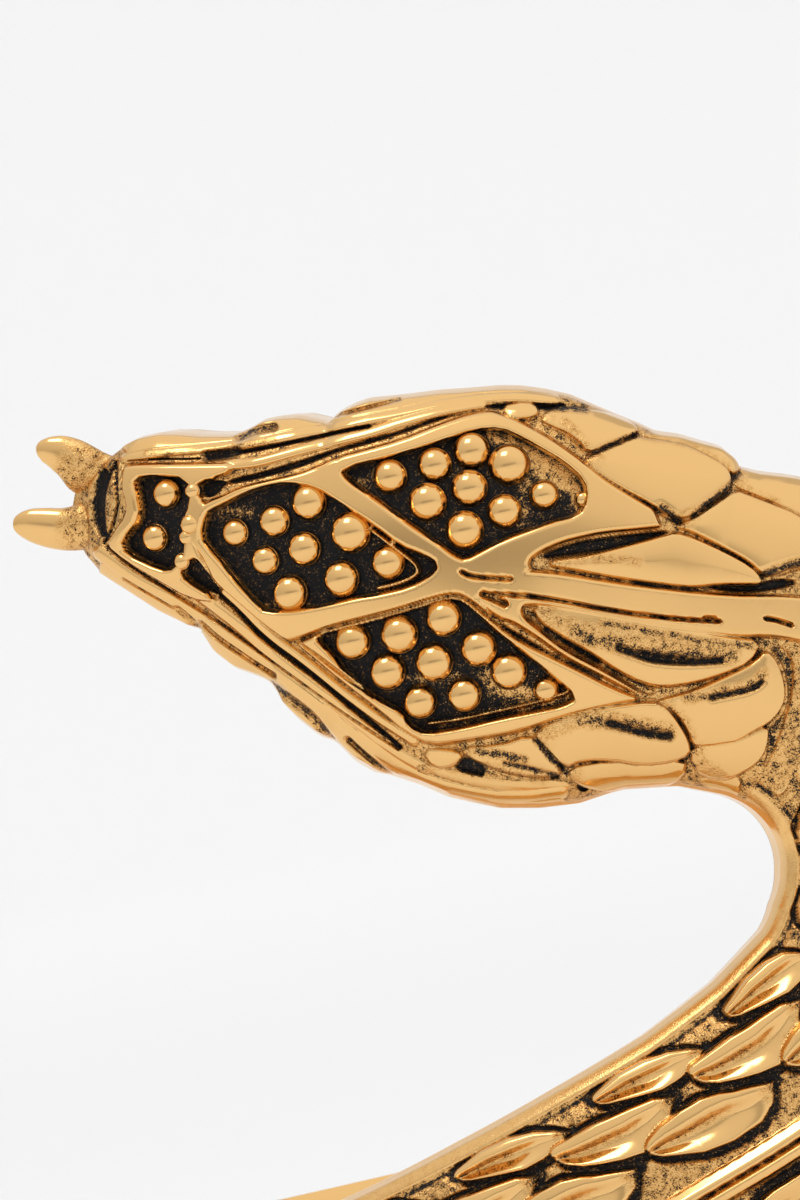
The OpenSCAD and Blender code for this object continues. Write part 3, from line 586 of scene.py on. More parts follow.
ornament = {
    "frameHeight": 0.75,     # plates over the cells' floor
    "frameRound": 0.24,      # rounding of their edges
    "wireHeight": 0.55,
    "wireRound": 0.5,        # rounding of the wires, over their width
    "railRound": 0.42,       # the same of the rails
    "fieldHeight": 0.3,      # rough field around the frames and scales
    "lipHeight": 0.48,       # lip scales over the floor
    "plateRound": 0.14,      # rounding of the large scales' edges
    "plateSpread": 0.1,      # the large scales reach this far past their outlines
    "pillowHeight": 0.14,    # bulge of the large scales
    "pillowReach": 0.5,      # width over which it rises
    "moatDepth": 0.06,       # fine groove around them
    "moatWidth": 0.06,
    "rootShade": 0.3,        # patina at their roots
    "streakDepth": 0.2,      # the darkest streaks are cut in
    "bareShade": 0.36,       # patina on the rough field
    "rimHeight": 0.35,
    "rimHalf": 0.42,         # half width of the rim
    "rimRound": 0.3,
    "lineInside": 0.99,      # dark line beside the rim, from the band's edge
    "lineWidth": 0.13,
    "ridgeHeight": 0.75,
    "scalePitch": 7.1,       # from one of the band's scales to the next
    "scaleSize": 1.13,       # scales over their tables
    "scaleRise": 0.94,
    "scaleGap": 0.38,        # width of the black crevice under each
    "scoopDepth": 0.6,
    "bandField": 0.22,       # the band between its scales, over its dome
    "scalesFrom": 34.5,      # the band's scales start to rise here
    "scalesFull": 36.5,
    "tailPlain": 12.0,       # the tip of the tail has none
    "tailFade": 16.0,        # and they start to fade this far before it
}
# Flank of the ridge: across from its middle, and share of its height.
ridgeFlank = [(-0.94, 0.0), (-0.86, 0.14), (-0.78, 0.48), (-0.42, 0.93), (-0.28, 1.0), (-0.12, 0.96),
              (-0.04, 0.3)]


# Rows of the band's scales: share of the half width and place of a tip, then the outer and the inner
# edge as distances from the tip and inwards.
scaleKinds = [
    (0.87, 56.5, [(0, 0.25), (0.1, 0.08), (0.3, 0), (1.5, -0.2), (2.6, -0.15), (3.6, 0.1), (4.4, 0.5),
                   (4.9, 0.9)],
     [(0, 0.28), (0.15, 0.54), (0.5, 0.72), (1.2, 0.93), (2.6, 1.32), (3.4, 1.32), (4.2, 1.18),
      (4.9, 0.92)]),
    (0.72, 59.4, [(0, 0.28), (0.1, 0.08), (0.3, 0), (2.2, 0), (3.6, 0.16), (4.6, 0.32), (5.4, 0.75)],
     [(0, 0.35), (0.1, 0.65), (0.3, 0.95), (0.8, 1.3), (1.45, 1.58), (2.3, 1.88), (3.1, 2.05),
      (3.9, 1.88), (4.7, 1.42), (5.4, 0.8)]),
    (0.44, 55.8, [(0, 0.1), (0.1, -0.1), (0.3, -0.25), (1, -0.48), (2, -0.6), (2.9, -0.58),
                  (3.6, -0.36), (4.1, -0.1), (4.7, 0.12), (5.7, 0.55)],
     [(0, 0.15), (0.1, 0.42), (0.4, 0.7), (0.9, 0.95), (1.85, 1.4), (3.0, 1.62), (4.3, 1.6),
      (5.15, 1.25), (5.7, 0.5)]),
]


# Relief of the head and neck over the dome: the highest of plates, bars, rails and scales, less the
# cells and grooves. The second array is what share of each place the dark floor holds.
def headRelief(u, v):
    p, q = planOf(u, v)
    field = ornament["fieldHeight"]
    frameHeight = ornament["frameHeight"]
    high = np.full(u.shape, field)
    for depth, outline in blackHollows:
        inside = insideDistance(p, q, [outline])
        high = np.minimum(high, field - depth * smoothStep(-0.04, 0.12, inside))
    frames = insideDistance(p, q, framePlates)
    cells = insideDistance(p, q, cellPits)
    plates = frameHeight * roundedEdge(frames, ornament["frameRound"])
    plates = np.minimum(plates, frameHeight * roundedEdge(-cells, ornament["frameRound"]))
    high = np.where(cells > 0, 0.0, high)
    for width, depth, points in plateGrooves:
        plates = np.minimum(plates, frameHeight - depth * grooveShare(p, q, width, points))
    high = np.maximum(high, plates)
    for width, points in cellWires:
        bar = barShare(p, q, width, points, ornament["wireRound"])
        high = np.maximum(high, ornament["wireHeight"] * bar)

    # Lip scales lie outside the outermost rails, as far as a level line above or below them.
    lips = np.full(u.shape, farOutside)
    for number, level in ((0, 9.5), (2, -12.5)):
        middle = rails[number][2]
        ring = list(middle) + [(middle[-1][0] + 3, level), (middle[0][0] - 3, level)]
        lips = np.maximum(lips, outlineDistance(p, q, np.array(ring, float)))
    high = np.maximum(high, ornament["lipHeight"] * smoothStep(-0.1, 0.25, lips)
                      * (1 - smoothStep(22, 25, u)))
    railed = np.zeros(u.shape)
    for width, height, points in rails:
        railed = np.maximum(railed, height * barShare(p, q, width, points, ornament["railRound"]))
    high = np.maximum(high, railed)
    for width, depth, points in railGrooves:
        high = high - depth * grooveShare(p, q, width, points) * (frames < 0)
    high = np.maximum(high, 0)

    # A scale climbs to its tip and drops there.
    speckled = np.zeros(u.shape)
    for rise, way, outline in neckPlates:
        chain = cutCorners(outline, True, 1)
        inside = outlineDistance(p, q, chain) + ornament["plateSpread"]
        length = np.hypot(*way)
        run = (p * way[0] + q * way[1]) / length
        ends = (chain[:, 0] * way[0] + chain[:, 1] * way[1]) / length
        climb = np.clip((run - ends.min()) / (ends.max() - ends.min()), 0, 1)
        swell = 1 - np.exp(-np.maximum(inside, 0.0) / ornament["pillowReach"])
        body = field + rise * (0.3 + 0.6 * climb) + ornament["pillowHeight"] * swell
        edge = roundedEdge(inside, ornament["plateRound"]) * (inside > 0)
        high = np.where(edge > 0, np.maximum(high, body * edge), high)
        moat = np.exp(-(np.minimum(0.0, inside) / ornament["moatWidth"]) ** 2) * (inside <= 0)
        high = high - ornament["moatDepth"] * moat * (0.2 + climb) * (high < field + 0.02)
        root = (1 - smoothStep(0.0, 0.22, climb)) * ornament["rootShade"] * (edge > 0)
        speckled = np.maximum(speckled, root)
    for amount, width, points in speckledAreas:
        stroke = strokeShare(p, q, width, points)
        speckled = np.maximum(speckled, amount * stroke)
        high = high - ornament["streakDepth"] * np.maximum(amount - 0.45, 0) / 0.4 * stroke

    black = 1 - smoothStep(0.06, 0.24, high)
    for amount, width, points in goldenFloors:
        black = black * (1 - amount * strokeShare(p, q, width, points))
    bare = ornament["bareShade"] * (1 - smoothStep(0.02, 0.12, high - field))
    return high, np.maximum(np.maximum(black, bare), speckled * (frames < 0.05))


# Slow waves that never repeat in step: they vary how worn the dark lines are.
def wearWaves(u, v):
    waves = np.sin(1.31 * u + 0.7 * v + 0.4) + np.sin(0.83 * u - 1.57 * v + 2.1) \
        + np.sin(2.47 * u + 1.93 * v + 4.0) + np.sin(1.9 * u - 2.9 * v + 1.2)
    return 0.5 + 0.125 * waves


# A spoon of a scale: its outer and inner edges are tables of the distance from the tip. The outer edge
# is a broad bevel, behind it lies a scoop that is deepest by the tip, and the root sinks away. Rows
# repeat every pitch. The scoop carries painted shade: a deep gold tint, and a dark spot by the tip.
def bandRelief(u, v):
    half = halfWidth(u, v)
    k = half / cuff["bandHalf"]
    centre = ridgeCentre(u)
    reach = np.where(v > centre, half - centre, half + centre)
    across = np.abs(v - centre) / reach
    field = ornament["bandField"]
    high = np.full(u.shape, field)
    hollowAndShade = np.zeros(u.shape)
    cut = np.zeros(u.shape)
    onScale = np.zeros(u.shape, bool)
    lowest = field + 0.015
    stretch = ornament["scaleSize"]
    for tipShare, tipAt, outerEdge, innerEdge in scaleKinds:
        d = np.mod(tipAt - u, ornament["scalePitch"])
        w = (tipShare - across) * cuff["bandHalf"]
        end = stretch * outerEdge[-1][0]
        low = stretch * np.interp(d / stretch, *np.array(outerEdge).T)
        wide = stretch * np.interp(d / stretch, *np.array(innerEdge).T) - low
        c = (w - low) / np.maximum(wide, 0.05)
        inside = np.where(d < end, np.minimum(w - low, wide - (w - low)), farOutside)
        t = d / end
        x = c - np.interp(t, [0, 0.1, 0.5, 0.8, 1.0], [0.62, 0.55, 0.47, 0.38, 0.3])
        crest = 0.95 - 0.5 * smoothStep(0.3, 1.1, t)
        along = smoothStep(0.0, 0.1, t) * (1 - smoothStep(0.4, 0.9, t))
        valley = along * np.where(x < 0, np.exp(-(x / 0.12) ** 2), np.exp(-(x / 0.32) ** 2))
        step = 0.05 * (x / 0.5) ** 2 + 0.14 * smoothStep(-0.1, 0.15, x)
        body = (ornament["scaleRise"] * (crest - step) - ornament["scoopDepth"] * valley) * k
        body = lowest + 0.012 * np.logaddexp(0, (body - lowest) / 0.012)
        edge = roundedEdge(inside, 0.2) * (inside > 0)
        better = (edge > 0.02) & (body * edge > high)
        high = np.where(better, body * edge, high)
        # Painted shade: the scoop's valley is tinted deep gold, and its bottom by the tip is darkened.
        paintedScoopShade = 0.33 * along * np.exp(-((x + 0.05) / 0.13) ** 2)
        paintedTipShade = 0.75 * smoothStep(0.02, 0.06, t) * (1 - smoothStep(0.07, 0.17, t)) \
            * np.exp(-(x / 0.06) ** 2)
        rough = 0.42 * smoothStep(0.78, 0.98, t)
        hollowAndShade = np.where(better, np.maximum(np.maximum(paintedScoopShade, paintedTipShade), rough), hollowAndShade)
        behind = np.hypot(d - end, w - stretch * outerEdge[-1][1])
        before = np.hypot(ornament["scalePitch"] - d, w - stretch * outerEdge[0][1])
        apart = np.where(d < end, -inside, np.minimum(behind, before))
        reachOut = ornament["scaleGap"] * np.where((d < end) & (c < 0.5), 0.5, 1.0)
        gap = np.exp(-(np.maximum(apart, 0) / reachOut) ** 4)
        cut = np.where(better, 0, np.maximum(cut, gap))
        onScale |= better
    scaled = smoothStep(ornament["scalesFrom"], ornament["scalesFull"], u) \
        * (1 - smoothStep(tailTip - ornament["tailFade"], tailTip - ornament["tailPlain"], u))
    high = np.where(onScale, high, high - field * cut)
    high = field + (high - field) * scaled
    onScale &= scaled > 0.5
    hollowAndShade = hollowAndShade * scaled

    # Rim, the dark line beside it, and the ridge of two bars with a trench on its far side and painted
    # shade on its outer flank.
    fromEdge = (1 - across) * reach
    rimHalf = ornament["rimHalf"]
    rim = rimShare(u) * ornament["rimHeight"] \
        * roundedEdge(rimHalf - np.abs(fromEdge - rimHalf), ornament["rimRound"])
    hollowAndShade = np.where(rim > high, 0.14, hollowAndShade)
    high = np.maximum(high, rim)
    line = rimShare(u) * ~onScale \
        * np.exp(-((fromEdge - ornament["lineInside"]) / ornament["lineWidth"]) ** 2)
    high = high - 0.1 * line
    hollowAndShade = np.maximum(hollowAndShade, (0.45 + 0.5 * wearWaves(u, v)) * line)
    y = (v - centre) / np.minimum(1.0, k + 0.1)
    flank = np.interp(y, *np.array(ridgeFlank).T)
    bars = np.maximum(flank * (y < -0.02), 0.85 * roundedEdge(0.34 - np.abs(y - 0.36), 0.24))
    high = np.maximum(high, ridgeShare(u) * ornament["ridgeHeight"] * bars)
    # Painted shade: a deep gold band along the foot of the ridge's outer flank, below its bright bar.
    hollowAndShade = np.maximum(hollowAndShade, 0.3 * ridgeShare(u) * np.exp(-((y + 0.98) / 0.13) ** 2) * ~onScale)
    trench = ridgeShare(u) * np.exp(-((y - 0.88) / 0.16) ** 2) * ~onScale
    high = high - 0.12 * trench * (y > 0.6)
    hollowAndShade = np.maximum(hollowAndShade, (0.5 + 0.5 * wearWaves(u, v)) * trench)
    floor = 0.9 * (1 - smoothStep(0.04, 0.16, high)) * ~onScale
    bare = ornament["bareShade"] * (1 - smoothStep(0.0, 0.05, high - field)) * ~onScale
    return high, np.maximum(floor, bare), hollowAndShade, onScale


# Three box averages in turn, along and across, are close to a bell.
def blurred(field, cells):
    for axis in (0, 1):
        for _ in range(3):
            pad = [(0, 0), (0, 0)]
            pad[axis] = (cells + 1, cells)
            sums = np.cumsum(np.pad(field, pad, mode="edge"), axis=axis)
            width = 2 * cells + 1
            count = field.shape[axis]
            high = np.take(sums, range(width, width + count), axis=axis)
            low = np.take(sums, range(0, count), axis=axis)
            field = (high - low) / width
    return field


# How far a place lies below the average around it, less an allowance, over a depth of 0.2.
def sunkenShare(high, cell, reach, allowance):
    average = blurred(high, max(1, int(round(reach / cell))))
    return np.clip((average - high - allowance) / 0.2, 0, 1)


shell = {
    "columns": 344,          # across the outer face, halved on the coarse pieces
    "wallColumns": 6,
    "innerColumns": 22,
    "ghost": 3,              # rows beyond each end that only the normals and averages use
    "headUntil": 31.6,       # from here to the next place the band's ornament takes over
    "bandFrom": 33.0,
    "narrowReach": 0.18,     # crevices lie below averages over these distances
    "broadReach": 0.5,
}


# Outer face, walls and inner face of the body on a grid: each row is one closed section. Across the
# outer face the share of the half width is the sine of an even angle.
def bodyGrid(rows, fine):
    columns = shell["columns"] if fine else shell["columns"] // 2
    angle = np.linspace(math.pi / 2, -math.pi / 2, columns + 1)
    share = np.sin(angle)
    u, f = np.meshgrid(rows, share, indexing="ij")
    v = f * halfWidth(u, f)
    dome = domeHeight(u, np.abs(f))
    onHead = 1 - smoothStep(shell["headUntil"], shell["bandFrom"], u)
    high = np.zeros(u.shape)
    floor = np.zeros(u.shape)
    hollowAndShade = np.zeros(u.shape)
    bright = np.zeros(u.shape)
    if rows[0] < shell["bandFrom"]:
        headHigh, headFloor = headRelief(u, v)
        high += onHead * headHigh
        floor += onHead * headFloor
    if rows[-1] > shell["headUntil"]:
        bandHigh, bandFloor, bandHollowAndShade, onScale = bandRelief(u, v)
        bright = 0.72 * (1 - onHead) * onScale
        high += (1 - onHead) * bandHigh
        floor += (1 - onHead) * bandFloor
        hollowAndShade += (1 - onHead) * bandHollowAndShade
    fade = 1 - smoothStep(0.965, 1.0, np.abs(f))
    high = high * fade
    cell = rows[1] - rows[0]
    narrow = sunkenShare(high, cell, shell["narrowReach"], 0.06)
    broad = sunkenShare(high, cell, shell["broadReach"], 0.02)
    worn = 0.45 + 0.95 * wearWaves(u, v)
    crevice = np.clip(np.maximum(0.72 * narrow, 0.38 * broad) * worn, 0, 1)
    crevice = np.minimum(crevice, 1 - bright)
    outer = bodyPoint(u, v, dome + high)
    dark = np.maximum(np.maximum(floor, crevice), hollowAndShade) * fade

    down = np.linspace(0, 1, shell["wallColumns"] + 1)[1:]
    uw, dw = np.meshgrid(rows, down, indexing="ij")
    wallHigh = edgeHeight(uw) + (cuff["footHeight"] - edgeHeight(uw)) * dw
    leftWall = bodyPoint(uw, -lowerHalf(uw), wallHigh)
    rightWall = bodyPoint(uw, upperHalf(uw), cuff["footHeight"]
                          + (edgeHeight(uw) - cuff["footHeight"]) * dw)[:, :-1]
    inner = np.linspace(-0.97, 0.97, shell["innerColumns"])
    ui, fi = np.meshgrid(rows, inner, indexing="ij")
    innerHigh = cuff["footHeight"] * smoothStep(0.9, 1.0, np.abs(fi))
    innerFace = bodyPoint(ui, fi * halfWidth(ui, fi), innerHigh)
    along = rows[:, None]
    foot = bodyPoint(along, upperHalf(along), np.full(along.shape, cuff["footHeight"]))
    grid = np.concatenate([outer, leftWall, innerFace, foot, rightWall], axis=1)
    rest = np.zeros((len(rows), grid.shape[1] - dark.shape[1]))
    return grid, np.concatenate([dark, rest], axis=1)


# Where a fine piece meets a coarse one, its odd columns lie midway between their neighbours.
def meetCoarse(grid, row):
    last = shell["columns"] + 1
    grid[row, 1:last:2] = 0.5 * (grid[row, 0:last - 1:2] + grid[row, 2:last:2])


# Normal of each grid point: the cross product of the steps along and across.
def gridNormals(grid):
    along = np.gradient(grid, axis=0)
    around = np.roll(grid, -1, axis=1) - np.roll(grid, 1, axis=1)
    normal = np.cross(along, around)
    normal /= np.maximum(np.linalg.norm(normal, axis=2, keepdims=True), 1e-12)
    middle = grid.mean(axis=1, keepdims=True)
    if np.sum(normal * (grid - middle)) < 0:
        normal = -normal
    return normal


# A mesh becomes a piece of the cuff: it gets its patina and painted shade, its gold, and its place on the
# one body.
def addPiece(name, mesh, patinaAndPaintedShade, material):
    layer = mesh.attributes.new("patinaAndPaintedShade", "FLOAT", "POINT")
    layer.data.foreach_set("value", patinaAndPaintedShade.astype(np.float32))
    mesh.materials.append(material)
    piece = bpy.data.objects.new(name, mesh)
    bpy.context.scene.collection.objects.link(piece)
    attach(piece, "root")
    return piece


# Mesh of a grid whose rows are closed rings, with a flat face over each end.
def tubeMesh(name, grid, normals, values, material):
    rows, columns = grid.shape[:2]
    points = (grid.reshape(-1, 3) * millimetre).astype(np.float32)
    index = np.arange(rows * columns).reshape(rows, columns)
    right = np.roll(index, -1, axis=1)
    quads = np.stack([index[:-1], right[:-1], right[1:], index[1:]], axis=-1).reshape(-1, 4)
    caps = [index[0][::-1], index[-1]]
    edgeA = grid[1, 0] - grid[0, 0]
    edgeB = grid[0, 1] - grid[0, 0]
    if np.dot(np.cross(edgeB, edgeA), normals[0, 0]) < 0:
        quads = quads[:, ::-1]
        caps = [cap[::-1] for cap in caps]
    loops = np.concatenate([quads.reshape(-1)] + caps).astype(np.int32)
    totals = np.array([4] * len(quads) + [columns, columns], np.int32)
    starts = np.concatenate([[0], np.cumsum(totals)[:-1]]).astype(np.int32)
    mesh = bpy.data.meshes.new(name)
    mesh.vertices.add(len(points))
    mesh.vertices.foreach_set("co", points.reshape(-1))
    mesh.loops.add(len(loops))
    mesh.loops.foreach_set("vertex_index", loops)
    mesh.polygons.add(len(totals))
    mesh.polygons.foreach_set("loop_start", starts)
    mesh.polygons.foreach_set("loop_total", totals)
    mesh.polygons.foreach_set("use_smooth", np.ones(len(totals), bool))
    mesh.update(calc_edges=True)
    mesh.normals_split_custom_set_from_vertices(normals.reshape(-1, 3).astype(np.float32))
    return addPiece(name, mesh, values.reshape(-1), material)


gilding = {
    "gold": (0.84, 0.515, 0.2, 1.0),
    "deepGold": (0.68, 0.36, 0.11, 1.0),  # beside the patina, and as painted shade in the band's scoops and on the ridge's flank
    "patinaAndPaintedShade": (0.006, 0.006, 0.007, 1.0),
    "polish": 0.15,          # roughness where it is worn bright
    "patinaRough": 0.42,
    "grainSize": 14000.0,    # noise across one metre
    "grainDepth": 0.00005,   # metres
    "grainAmount": 1.5,      # how much the grain moves the patina's edge
    "sparkSize": 1.7,        # grain of the golden sparks, over the other
    "sparkAmount": 0.55,
    "blotchSize": 3200.0,    # noise across one metre, in larger spots
    "blotchAmount": 1.1,
}


# Math node: its operation on sockets or plain numbers.
def reckon(tree, operation, *values):
    node = tree.nodes.new("ShaderNodeMath")
    node.operation = operation
    for socket, value in zip(node.inputs, values):
        if isinstance(value, (int, float)):
            socket.default_value = value
        else:
            tree.links.new(value, socket)
    return node.outputs["Value"]


# A value's span from low to high becomes the span from start to end.
def ramp(tree, value, low, high, start=0.0, end=1.0, kind="SMOOTHSTEP"):
    node = tree.nodes.new("ShaderNodeMapRange")
    node.interpolation_type = kind
    node.inputs["From Min"].default_value = low
    node.inputs["From Max"].default_value = high
    node.inputs["To Min"].default_value = start
    node.inputs["To Max"].default_value = end
    tree.links.new(value, node.inputs["Value"])
    return node.outputs["Result"]


# Noise on a piece's own coordinates.
def noise(tree, place, size, detail, roughness=0.5):
    node = tree.nodes.new("ShaderNodeTexNoise")
    node.inputs["Scale"].default_value = size
    node.inputs["Detail"].default_value = detail
    node.inputs["Roughness"].default_value = roughness
    tree.links.new(place, node.inputs["Vector"])
    return node.outputs["Fac"]


# Polished gold over a dark patina and painted shade: the mix follows their attribute, broken up by a fine
# grain only where the attribute is set.
def makeGold(name):
    material = bpy.data.materials.new(name)
    material.use_nodes = True
    tree = material.node_tree
    nodes = tree.nodes
    links = tree.links
    nodes.clear()
    output = nodes.new("ShaderNodeOutputMaterial")
    shader = nodes.new("ShaderNodeBsdfPrincipled")
    links.new(shader.outputs["BSDF"], output.inputs["Surface"])
    place = nodes.new("ShaderNodeTexCoord").outputs["Object"]
    # The attribute holds the patina and the painted shade of the band's scoops, the ridge's flank and the
    # beads' feet.
    attribute = nodes.new("ShaderNodeAttribute")
    attribute.attribute_name = "patinaAndPaintedShade"
    worn = attribute.outputs["Fac"]
    grain = noise(tree, place, gilding["grainSize"], 2.0, 0.6)
    spark = noise(tree, place, gilding["grainSize"] * gilding["sparkSize"], 1.0)
    blotch = noise(tree, place, gilding["blotchSize"], 2.0)
    near = ramp(tree, worn, 0.04, 0.3)
    patchy = reckon(tree, "MULTIPLY", reckon(tree, "SUBTRACT", blotch, 0.5), gilding["blotchAmount"])
    jitter = reckon(tree, "MULTIPLY_ADD", reckon(tree, "SUBTRACT", grain, 0.5),
                    gilding["grainAmount"], patchy)
    total = reckon(tree, "MULTIPLY_ADD", jitter, near, worn)
    sparkle = ramp(tree, spark, 0.62, 0.72, 0.0, gilding["sparkAmount"])
    mask = ramp(tree, reckon(tree, "SUBTRACT", total, sparkle), 0.34, 0.62)

    tint = nodes.new("ShaderNodeMix")
    tint.data_type = "RGBA"
    tint.inputs["A"].default_value = gilding["gold"]
    tint.inputs["B"].default_value = gilding["deepGold"]
    links.new(ramp(tree, total, 0.05, 0.4), tint.inputs["Factor"])
    colour = nodes.new("ShaderNodeMix")
    colour.data_type = "RGBA"
    colour.inputs["B"].default_value = gilding["patinaAndPaintedShade"]
    links.new(mask, colour.inputs["Factor"])
    links.new(tint.outputs["Result"], colour.inputs["A"])
    links.new(colour.outputs["Result"], shader.inputs["Base Color"])
    links.new(ramp(tree, mask, 0.0, 1.0, 1.0, 0.0), shader.inputs["Metallic"])
    links.new(ramp(tree, mask, 0.0, 1.0, 0.5, 0.16), shader.inputs["Specular IOR Level"])
    roughness = ramp(tree, mask, 0.0, 1.0, gilding["polish"], gilding["patinaRough"])
    links.new(reckon(tree, "ADD", roughness, ramp(tree, near, 0.0, 1.0, 0.0, 0.1)),
              shader.inputs["Roughness"])
    pits = nodes.new("ShaderNodeBump")
    pits.inputs["Strength"].default_value = 0.7
    pits.inputs["Distance"].default_value = gilding["grainDepth"]
    links.new(reckon(tree, "MULTIPLY", grain, near), pits.inputs["Height"])
    links.new(pits.outputs["Normal"], shader.inputs["Normal"])
    return material


gold = makeGold("cast gold")

# Pieces of the body: name, first and last place, step along, and whether the columns are fine.
bodyPieces = [
    ("snake_head", -1.1, 16.5, 0.07, True),
    ("snake_neck", 16.5, 33.0, 0.07, True),
    ("snake_bend", 33.0, 50.0, 0.14, False),
    ("snake_slope", 50.0, 76.0, 0.1, True),
    ("snake_band", 76.0, 160.0, 0.22, False),
    ("snake_tail", 160.0, tailTip, 0.24, False),
]
for name, first, last, step, fine in bodyPieces:
    count = int(round((last - first) / step)) + 1
    spacing = (last - first) / (count - 1)
    ghost = shell["ghost"]
    rows = first + spacing * np.arange(-ghost, count + ghost)
    grid, values = bodyGrid(rows, fine)
    normals = gridNormals(grid)
    inner = slice(ghost, ghost + count)
    if fine and first > 17:
        meetCoarse(grid, ghost)
    if fine and last > 17:
        meetCoarse(grid, ghost + count - 1)
    piece = tubeMesh(name, grid[inner], normals[inner], values[inner], gold)
    print(f"cuff: {name}, {count} rows, {2 * count * grid.shape[1]} triangles")
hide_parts("snake_cuff")

# Beads of the cells: right and up from the knot, and radius.
beadRows = [
    (-12.3, 3.50, 0.67), (-12.8, 1.60, 0.64), (-9.3, 1.80, 0.64), (-7.6, 2.30, 0.73),
    (-6.1, 3.10, 0.83), (-8, 0.60, 0.67), (-6.3, 1.10, 0.78), (-6.9, -0.80, 0.83), (-4.7, -0.20, 0.83),
    (-4.3, 1.80, 0.93), (-2.7, 0.50, 0.78), (-2.6, 4.20, 0.78), (-0.7, 4.70, 0.78), (0.9, 5.30, 0.83),
    (0.8, 3.70, 0.83), (-1, 3.10, 0.87), (0.6, 1.90, 0.87), (2.3, 2.70, 0.78), (2.5, 4.70, 0.93),
    (4, 3.40, 0.67), (-4.2, -2.90, 0.83), (-2.2, -2.60, 0.87), (-0.3, -1.90, 0.83), (1.2, -3.20, 0.83),
    (-0.7, -3.80, 0.87), (-2.7, -4.20, 0.83), (-1.3, -5.50, 0.78), (0.6, -5.20, 0.78),
    (2.5, -4.20, 0.83), (4.1, -5.00, 0.58), (5.7, 3.20, 0.39),
    # on the bar between the snout's plate and the first cell, raised
    (-11.0, 3.65, 0.36, 0.5), (-11.1, 2.2, 0.46, 0.5), (-11.25, 1.65, 0.36, 0.5), (-11.45, 0.6, 0.38, 0.5),
]
beadShape = {
    "around": 44,            # points of a ring
    "down": 16,              # rings from the pole
    "tall": 1.02,            # height over the radius
    "sink": 0.35,            # how far the last ring lies below the floor, over the radius
}


# Domes on the cells' floor: rings from the pole outwards, the height a cosine and the reach a sine of
# the way down, with the last ring sunk below the floor. Their lower rings get painted shade, a dark ring
# at the foot.
def makeBeads():
    table = np.array([row if len(row) == 4 else row + (0.0,) for row in beadRows])
    u, v = bodyOf(table[:, 0], table[:, 1])
    turn = bodyTurn(u, v)
    centre = bodyPoint(u, v, surfaceHeight(u, v) + table[:, 3])
    outward = np.stack([np.sin(turn), -np.cos(turn), np.zeros(len(u))], axis=-1)
    sideways = np.stack([np.cos(turn), np.sin(turn), np.zeros(len(u))], axis=-1)
    upward = np.array([0.0, 0.0, 1.0])
    down = np.linspace(0, 0.5 * math.pi, beadShape["down"])
    around = np.linspace(0, 2 * math.pi, beadShape["around"], endpoint=False)
    d, a = np.meshgrid(down, around, indexing="ij")
    reach = np.sin(d) ** 0.92
    tall = np.cos(d) * beadShape["tall"]
    reach = np.vstack([reach, reach[-1:]])
    tall = np.vstack([tall, np.full((1, beadShape["around"]), -beadShape["sink"])])
    a = np.vstack([a, a[-1:]])
    radius = table[:, 2][:, None, None, None]
    local = (reach * np.cos(a))[None, :, :, None] * sideways[:, None, None, :] \
        + (reach * np.sin(a))[None, :, :, None] * upward \
        + tall[None, :, :, None] * outward[:, None, None, :]
    points = centre[:, None, None, :] + radius * local
    count, rings, spokes = points.shape[:3]
    pole = points[:, :1, :1]
    flat = points[:, 1:].reshape(count, -1, 3)
    every = np.concatenate([pole.reshape(count, 1, 3), flat], axis=1)
    each = every.shape[1]
    ring = 1 + np.arange((rings - 1) * spokes).reshape(rings - 1, spokes)
    after = np.roll(ring, -1, axis=1)
    quads = np.stack([ring[:-1], ring[1:], after[1:], after[:-1]], axis=-1).reshape(-1, 4)
    fans = np.stack([np.zeros(spokes, int), ring[0], after[0]], axis=-1)
    offsets = (np.arange(count) * each)[:, None, None]
    faces = [tuple(f) for f in (quads[None] + offsets).reshape(-1, 4)]
    faces += [tuple(f) for f in (fans[None] + offsets).reshape(-1, 3)]
    faces += [tuple(ring[-1][::-1] + k * each) for k in range(count)]
    mesh = bpy.data.meshes.new("cell_beads")
    mesh.from_pydata((every.reshape(-1, 3) * millimetre).tolist(), [], faces)
    mesh.update()
    mesh.polygons.foreach_set("use_smooth", np.ones(len(mesh.polygons), bool))
    # Painted shade: the lower rings darken towards the foot, a dark ring in place of the dark floor that
    # each bead reflects.
    low = np.concatenate([[0.0], np.repeat(smoothStep(0.45, 0.1, tall[1:, 0]), spokes)])
    addPiece("cell_beads", mesh, np.tile(0.85 * low, count), gold)


makeBeads()
print("cuff: beads")

# Prongs of the forked tongue: plan points, half width and half thickness.
tongueProngs = {
    "upper_prong": [(-17.9, 5.4, 0.05), (-17.84, 5.42, 0.3), (-17.65, 5.46, 0.5), (-17.3, 5.45, 0.66),
                    (-16.9, 5.36, 0.8), (-16.4, 5.12, 0.9), (-15.95, 4.76, 1.0), (-15.5, 4.3, 1.15),
                    (-15.0, 3.8, 1.35), (-14.4, 3.3, 1.45)],
    "lower_prong": [(-18.95, 2.3, 0.05), (-18.88, 2.3, 0.32), (-18.6, 2.28, 0.55),
                    (-18.2, 2.24, 0.72), (-17.7, 2.15, 0.83), (-17.2, 2.07, 0.9),
                    (-16.6, 2.02, 0.95), (-16.0, 2.1, 1.02), (-15.4, 2.3, 1.25),
                    (-14.8, 2.6, 1.5), (-14.2, 2.8, 1.6)],
}
tongueShape = {
    "height": 1.9,           # middle of the prongs over the inner face
    "rootDrop": 1.0,         # it sinks this much into the head
    "around": 40,
    "along": 90,
    "thin": 0.72,            # thickness over width
}


